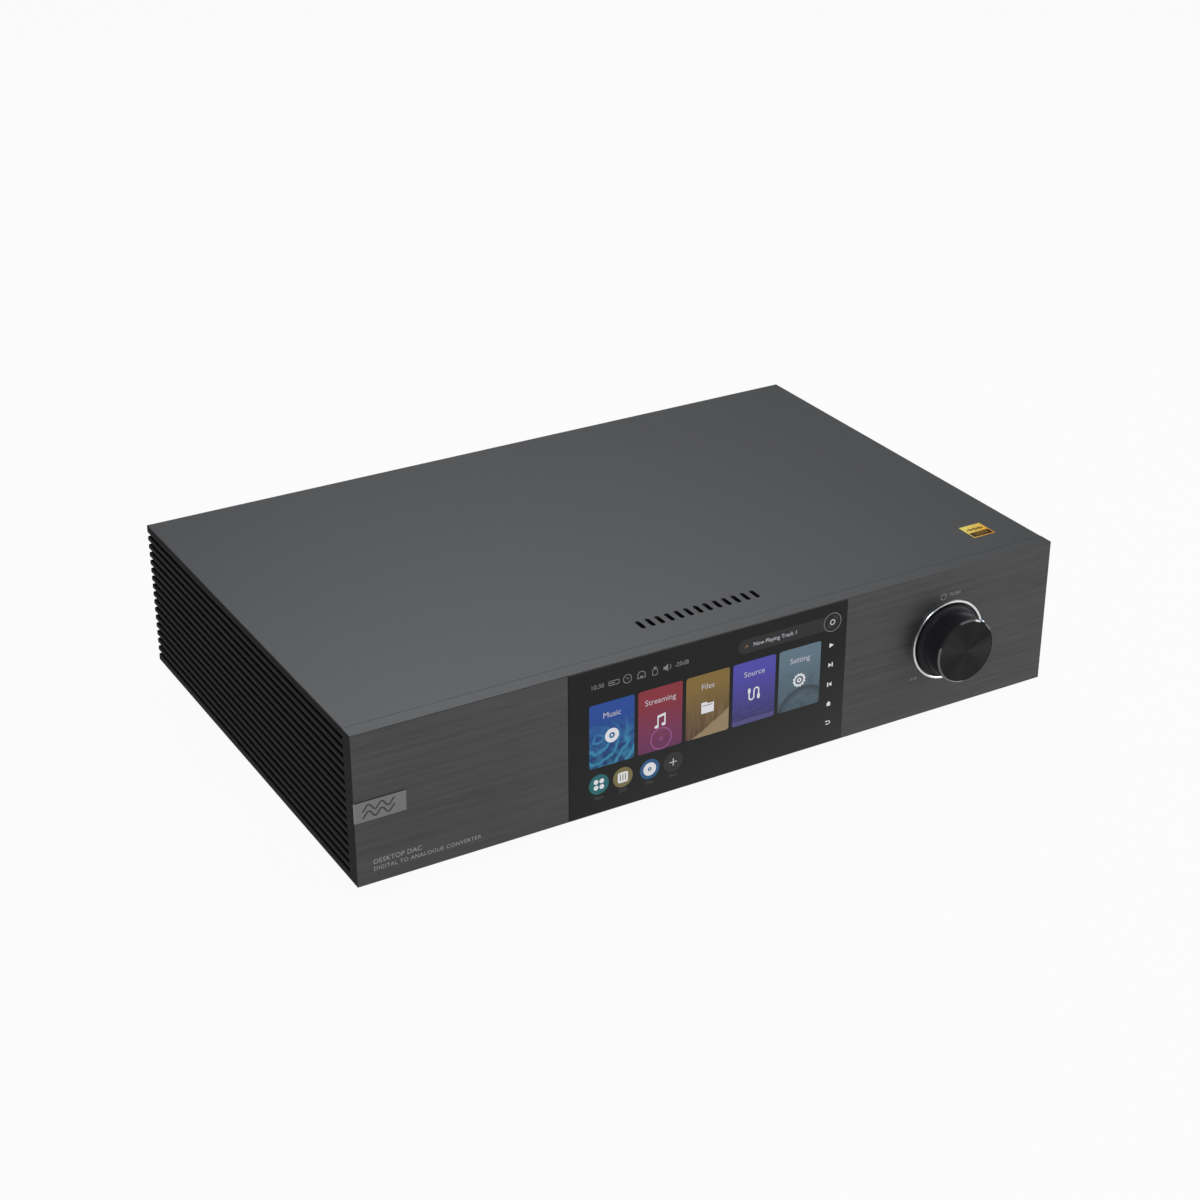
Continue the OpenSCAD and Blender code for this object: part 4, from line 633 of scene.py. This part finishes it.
print_ink = surface("print_ink", linear(136, 136, 136), roughness=0.55, grain=(0.2, 0.2, 0.2), spread=0.08)
faint_ink = surface("faint_ink", linear(120, 120, 120), roughness=0.55, grain=(0.2, 0.2, 0.2), spread=0.08)
dot_ink = surface("dot_ink", linear(98, 98, 98), roughness=0.55, grain=(0.2, 0.2, 0.2), spread=0.08)
PRINT_LEFT = -186
words("print_name", "DESKTOP DAC", on_front(PRINT_LEFT, 11), 2.5, print_ink, "badge_silver",
      align="LEFT", spacing=1.05)
words("print_line", "DIGITAL TO ANALOGUE CONVERTER", on_front(PRINT_LEFT, 7.3), 2.1, print_ink,
      "badge_silver", align="LEFT", spacing=1.1)
power_mark = [stroke(arc(1.7, 120, 420, count=32), 0.4), rounded(0.4, 1.9, 0.15, 0, 1.1)]
flat("print_power_mark", power_mark, on_front(127.3, 63.8), faint_ink, "badge_silver")
words("print_push", "PUSH", on_front(134.4, 63.9), 2.0, faint_ink, "badge_silver", spacing=1.0)
flat("print_dots", [rounded(1.5, 1.3, 0.3, -1.2, 0), rounded(1.5, 1.3, 0.3, 1.2, 0)], on_front(111.7, 21.8),
     dot_ink, "badge_silver")

badge_mid = (badge_low + badge_high) / 2
badge_dark = surface("badge_dark", linear(48, 48, 48), metallic=0.3, roughness=0.5, grain=(0.3, 0.3, 0.3))
wave = [(x * 0.4, 1.5 * math.sin(x * 0.4 * math.pi / 3.2)) for x in range(-20, 21)]
badge_place = (badge_mid.x - 0.9 * MM, badge_low.y - INK / 2 * MM, badge_mid.z)
badge_waves = [stroke(moved(wave, 0, z), 0.85) for z in (1.7, -1.7)]
flat("badge_waves", badge_waves, badge_place, badge_dark, "front_grey")

foil_mid = (foil_low + foil_high) / 2
foil_top = foil_high.z + INK / 2 * MM
foil_black = surface("foil_black", (0.012, 0.01, 0.006, 1), roughness=0.35, grain=(0.2, 0.2, 0.2))
flat("foil_band", [rounded(12.0, 4.6, 0.3, 0, -3.6)], (foil_mid.x, foil_mid.y, foil_top), foil_black,
     "foil_gold", "up")
foil_look = foil_finish()
heights = (1.2, 2.4, 1.7, 3.0, 2.0, 2.7, 1.4)
flat("foil_bars", [rounded(0.9, h, 0.15, (k - 3) * 1.45, 1.9) for k, h in enumerate(heights)],
     (foil_mid.x, foil_mid.y, foil_top), foil_black, "foil_gold", "up")
gold_ink = surface("foil_gold_ink", linear(230, 170, 30), metallic=0.6, roughness=0.35, grain=(0.2, 0.2, 0.2))
flat("foil_band_lines", [rounded(8.4, 0.32, 0.15, 0, z) for z in (-2.7, -4.1)],
     (foil_mid.x, foil_mid.y, foil_top + INK * MM), gold_ink, "foil_gold", "up")

# Connectors' names on the back: text, x, height above the case's lower edge and capitals' height
white_ink = surface("white_ink", linear(205, 205, 205), roughness=0.55, grain=(0.2, 0.2, 0.2), spread=0.06)
LEGENDS = [
    ("XLR OUT", 179, 63.5, 1.6), ("LEFT", 179, 56, 1.8), ("RIGHT", 179, 20, 1.8),
    ("LINE OUT", 128, 64.5, 2.0), ("LINE IN", 106, 64.5, 2.0), ("L", 117, 52, 1.9), ("R", 117, 24, 1.9),
    ("XLR IN", 92, 62.5, 1.5), ("L", 90.5, 56, 1.8), ("R", 90.5, 20, 1.8),
    ("COAXIAL", 24, 65, 2.0), ("IN 1", 42, 61, 1.5), ("IN 2", 24, 61, 1.5), ("OUT", 6, 61, 1.5),
    ("OPTICAL", 33, 26, 1.7), ("USB", 4, 27.5, 1.7), ("DIGITAL", -16, 25.5, 1.7), ("USB", -47, 28, 1.7),
    ("LAN", -78, 29, 1.8), ("TRIGGER", -28, 59.5, 1.8), ("ANTENNA", -76, 60.5, 1.8),
]
for number, (text, x, z, height) in enumerate(LEGENDS):
    words(f"legend_{number:02d}", text, on_back(x, z), height, white_ink, "core_white", "back")


# ---------------------------------------------------------------- CAD nodes' materials

cover = case_finish("case_blasted", CASE, CASE, END_SHADE, (0.35, 0.35, 0.35), 0.06, COVER_ROUGHNESS, 0.1, 0.02)
brushed = case_finish("front_brushed", FRONT, CASE, END_SHADE, (14, 0.28, 0.28), 0.25, 0.4, 0.3, 0.02)
fins = fin_finish()
steel = surface("powder_steel", linear(36, 36, 37), roughness=0.6, grain=(0.5, 0.5, 0.5), relief=0.35,
                depth=0.05)
badge = surface("badge_satin", linear(114, 114, 113), metallic=0.85, roughness=0.38, grain=(5, 0.25, 0.25))
foot = surface("foot_plastic", linear(28, 28, 29), roughness=0.4, grain=(0.8, 0.8, 0.8))
rubber = surface("pad_rubber", linear(20, 20, 20), roughness=0.85, grain=(0.4, 0.4, 0.4), relief=0.4,
                 depth=0.06)
screw_black = surface("screw_blacked", linear(40, 40, 42), metallic=0.9, roughness=0.32,
                      grain=(0.2, 0.2, 0.2))
zinc = surface("screw_zinc", linear(196, 198, 200), metallic=1.0, roughness=0.3, grain=(0.3, 0.3, 0.3))
knob_black = knob_finish()
ring_chrome = surface("ring_polished", linear(212, 212, 214), metallic=1.0, roughness=0.3,
                      grain=(0.4, 0.4, 0.4), spread=0.03, relief=0.02, polish=0.03)
nickel = surface("nickel_plate", linear(205, 202, 194), metallic=1.0, roughness=0.24, grain=(0.4, 0.4, 0.4))
gold = surface("gold_plate", linear(236, 190, 96), metallic=1.0, roughness=0.2, grain=(0.4, 0.4, 0.4))
plastic = surface("black_plastic", linear(24, 24, 25), roughness=0.42, grain=(0.5, 0.5, 0.5), relief=0.2)
rocker = surface("rocker_plastic", linear(20, 20, 21), roughness=0.3, grain=(0.6, 0.6, 0.6))
plain = surface("mill_aluminium", linear(186, 188, 190), metallic=1.0, roughness=0.4, grain=(9, 0.3, 0.3),
                spread=0.12)
sink = surface("heatsink_anodised", linear(30, 30, 32), metallic=0.7, roughness=0.45, grain=(0.3, 8, 0.3))
shield = surface("shield_tin", linear(190, 192, 192), metallic=1.0, roughness=0.33, grain=(4, 0.6, 4))
sleeve = surface("capacitor_sleeve", linear(22, 40, 96), roughness=0.35, grain=(1, 1, 6), spread=0.06)
ribbon = surface("ribbon_film", linear(222, 222, 214), roughness=0.5, grain=(0.5, 20, 0.5), spread=0.12)
ceramic = surface("fuse_ceramic", linear(220, 216, 204), roughness=0.35, grain=(0.8, 0.8, 0.8), spread=0.05)
panel_back = surface("lcd_backlight_steel", linear(150, 152, 154), metallic=0.9, roughness=0.4,
                     grain=(7, 0.5, 0.5))
board_black = board_finish("board_black", linear(18, 24, 22), linear(44, 56, 48))
board_green = board_finish("board_green", linear(14, 62, 34), linear(40, 104, 58))
led = glow("status_glow", linear(196, 222, 255), 2.2)
wires = surface("wire_sleeves", linear(110, 60, 32), roughness=0.45, grain=(0.8, 6, 0.8))

LOOKS = {
    cover: ["top_cover"],
    brushed: ["front_panel"],
    fins: ["side_panel_left", "side_panel_right"],
    steel: ["base_plate", "rear_panel", "storage_hatch"],
    badge: ["badge_plate"],
    foil_look: ["foil_label"],
    foot: ["feet"],
    rubber: ["foot_pads"],
    screw_black: ["rear_screws", "base_screws", "knob_set_screw"],
    zinc: ["foot_screws", "board_standoffs", "encoder_nut"],
    glass_finish(): ["display_glass"],
    panel_back: ["lcd_module"],
    plain: ["corner_brackets", "display_bracket", "transformer_clamp", "regulator_heatsink", "encoder_shaft"],
    knob_black: ["knob"],
    spun_finish("knob_spun", linear(36, 36, 36)): ["knob_face"],
    ring_chrome: ["knob_ring"],
    led: ["status_light"],
    plastic: ["switch_plunger", "encoder_body", "optical_sockets", "optical_shutter_in",
              "optical_shutter_out", "power_inlet", "fuse_drawer", "trigger_jacks"],
    rocker: ["power_rocker"],
    board_black: ["main_board", "dac_board"],
    board_green: ["display_board", "encoder_board", "power_board"],
    sink: ["processor_heatsink"],
    shield: ["dac_shield"],
    sleeve: ["filter_capacitors"],
    coil_finish(): ["power_transformer"],
    ribbon: ["display_ribbon"],
    nickel: ["xlr_output_sockets", "xlr_input_sockets", "xlr_latch_upper", "xlr_latch_lower", "usb_ports",
             "hdmi_port", "ethernet_port", "inlet_pins"],
    gold: ["rca_jacks", "antenna_sockets"],
    collar_finish(): ["rca_insulators"],
    ceramic: ["fuse"],
    wires: ["mains_harness"],
}
for look, names in LOOKS.items():
    for name in names:
        nodes[name].data.materials.clear()
        nodes[name].data.materials.append(look.material)


# ---------------------------------------------------------------- floor, light and camera

FLOOR_SIZE = 80.0  # metres, so that its edge stays out of sight in low views
FLOOR_GLOW = 0.952  # evens out the paper, as in a bleached-out studio picture
WORLD_LIGHT, PAPER_LIGHT = 0.12, 0.95
LENS, FRAME_WIDTH = 70.0, 36.0  # millimetres
AZIMUTH, ELEVATION, DISTANCE = -30.12, 26.97, 1.2922  # degrees, degrees, metres

KNOB_PLACE = (0.13, -0.13, 0.05)
# name, place, what it points at, size, watts and tint
LIGHTS = [
    ("top_light", (0.3, 0.7, 1.4), (-0.1, -0.05, 0.09), (0.8, 0.8), 9.7, (1, 1, 1)),
    ("side_light", (1.3, -0.9, 0.3), (0.1, -0.12, 0.05), (1.3, 0.9), 21, (1, 1, 1)),
    ("knob_light", (-0.45, -0.78, 1.12), KNOB_PLACE, (0.14, 0.4), 4.6, (0.9, 0.95, 1)),
    ("bevel_light", (0.82, -0.55, 0.76), KNOB_PLACE, (1.0, 0.6), 1.6, (1, 1, 1)),
]


def floor():
    """A pale paper floor, lit evenly enough that it runs out to the picture's edges."""
    mesh = bpy.data.meshes.new("floor")
    half = FLOOR_SIZE / 2
    corners = [(-half, -half, 0), (half, -half, 0), (half, half, 0), (-half, half, 0)]
    mesh.from_pydata(corners, [], [(0, 1, 2, 3)])
    piece = bpy.data.objects.new("floor", mesh)
    bpy.context.scene.collection.objects.link(piece)
    look = Look("floor_paper", Roughness=0.9, Specular_IOR_Level=0.0)
    grain = look.noise((3, 3, 3), 2)
    look.set(Base_Color=look.mix(grain, (0.022, 0.022, 0.022, 1), (0.023, 0.023, 0.023, 1)))
    look.set(Emission_Color=(1, 1, 1, 1), Emission_Strength=FLOOR_GLOW)
    mesh.materials.append(look.material)


def softbox(name, where, aim, size, power, tint):
    lamp = bpy.data.lights.new(name, "AREA")
    lamp.shape = "RECTANGLE"
    lamp.size, lamp.size_y = size
    lamp.energy = power
    lamp.color = tint
    piece = bpy.data.objects.new(name, lamp)
    piece.location = where
    piece.rotation_euler = (Vector(aim) - Vector(where)).to_track_quat("-Z", "Y").to_euler()
    bpy.context.scene.collection.objects.link(piece)


def world():
    """Dim light from all round, with paper behind the object where the eye looks straight at it."""
    backdrop = bpy.data.worlds.new("studio")
    backdrop.use_nodes = True
    tree = backdrop.node_tree
    light = tree.nodes["Background"]
    paper = tree.nodes.new("ShaderNodeBackground")
    for node, colour, strength in ((light, (0.97, 0.985, 1, 1), WORLD_LIGHT),
                                   (paper, (1, 1, 1, 1), PAPER_LIGHT)):
        node.inputs["Color"].default_value = colour
        node.inputs["Strength"].default_value = strength
    seen = tree.nodes.new("ShaderNodeLightPath")
    choice = tree.nodes.new("ShaderNodeMixShader")
    tree.links.new(seen.outputs["Is Camera Ray"], choice.inputs["Fac"])
    tree.links.new(light.outputs["Background"], choice.inputs[1])
    tree.links.new(paper.outputs["Background"], choice.inputs[2])
    tree.links.new(choice.outputs["Shader"], tree.nodes["World Output"].inputs["Surface"])
    bpy.context.scene.world = backdrop


def camera():
    """The photograph's view: a 70 mm lens on a 36 mm frame, from the left, in front and above."""
    lens = bpy.data.cameras.new("camera")
    lens.lens = LENS
    lens.sensor_width = FRAME_WIDTH
    lens.clip_start = 0.05
    lens.clip_end = 50
    piece = bpy.data.objects.new("camera", lens)
    bpy.context.scene.collection.objects.link(piece)
    azimuth, elevation = math.radians(AZIMUTH), math.radians(ELEVATION)
    middle_x = (case_low.x + case_high.x) / 2
    target = Vector((middle_x + 41.3 * MM, case_low.y + 190.8 * MM, case_low.z))
    level = math.cos(elevation)
    away = Vector((math.sin(azimuth) * level, -math.cos(azimuth) * level, math.sin(elevation)))
    piece.location = target + DISTANCE * away
    piece.rotation_euler = (-away).to_track_quat("-Z", "Y").to_euler()
    bpy.context.scene.camera = piece


floor()
world()
for light in LIGHTS:
    softbox(*light)
camera()
bpy.context.scene.view_settings.view_transform = "Standard"
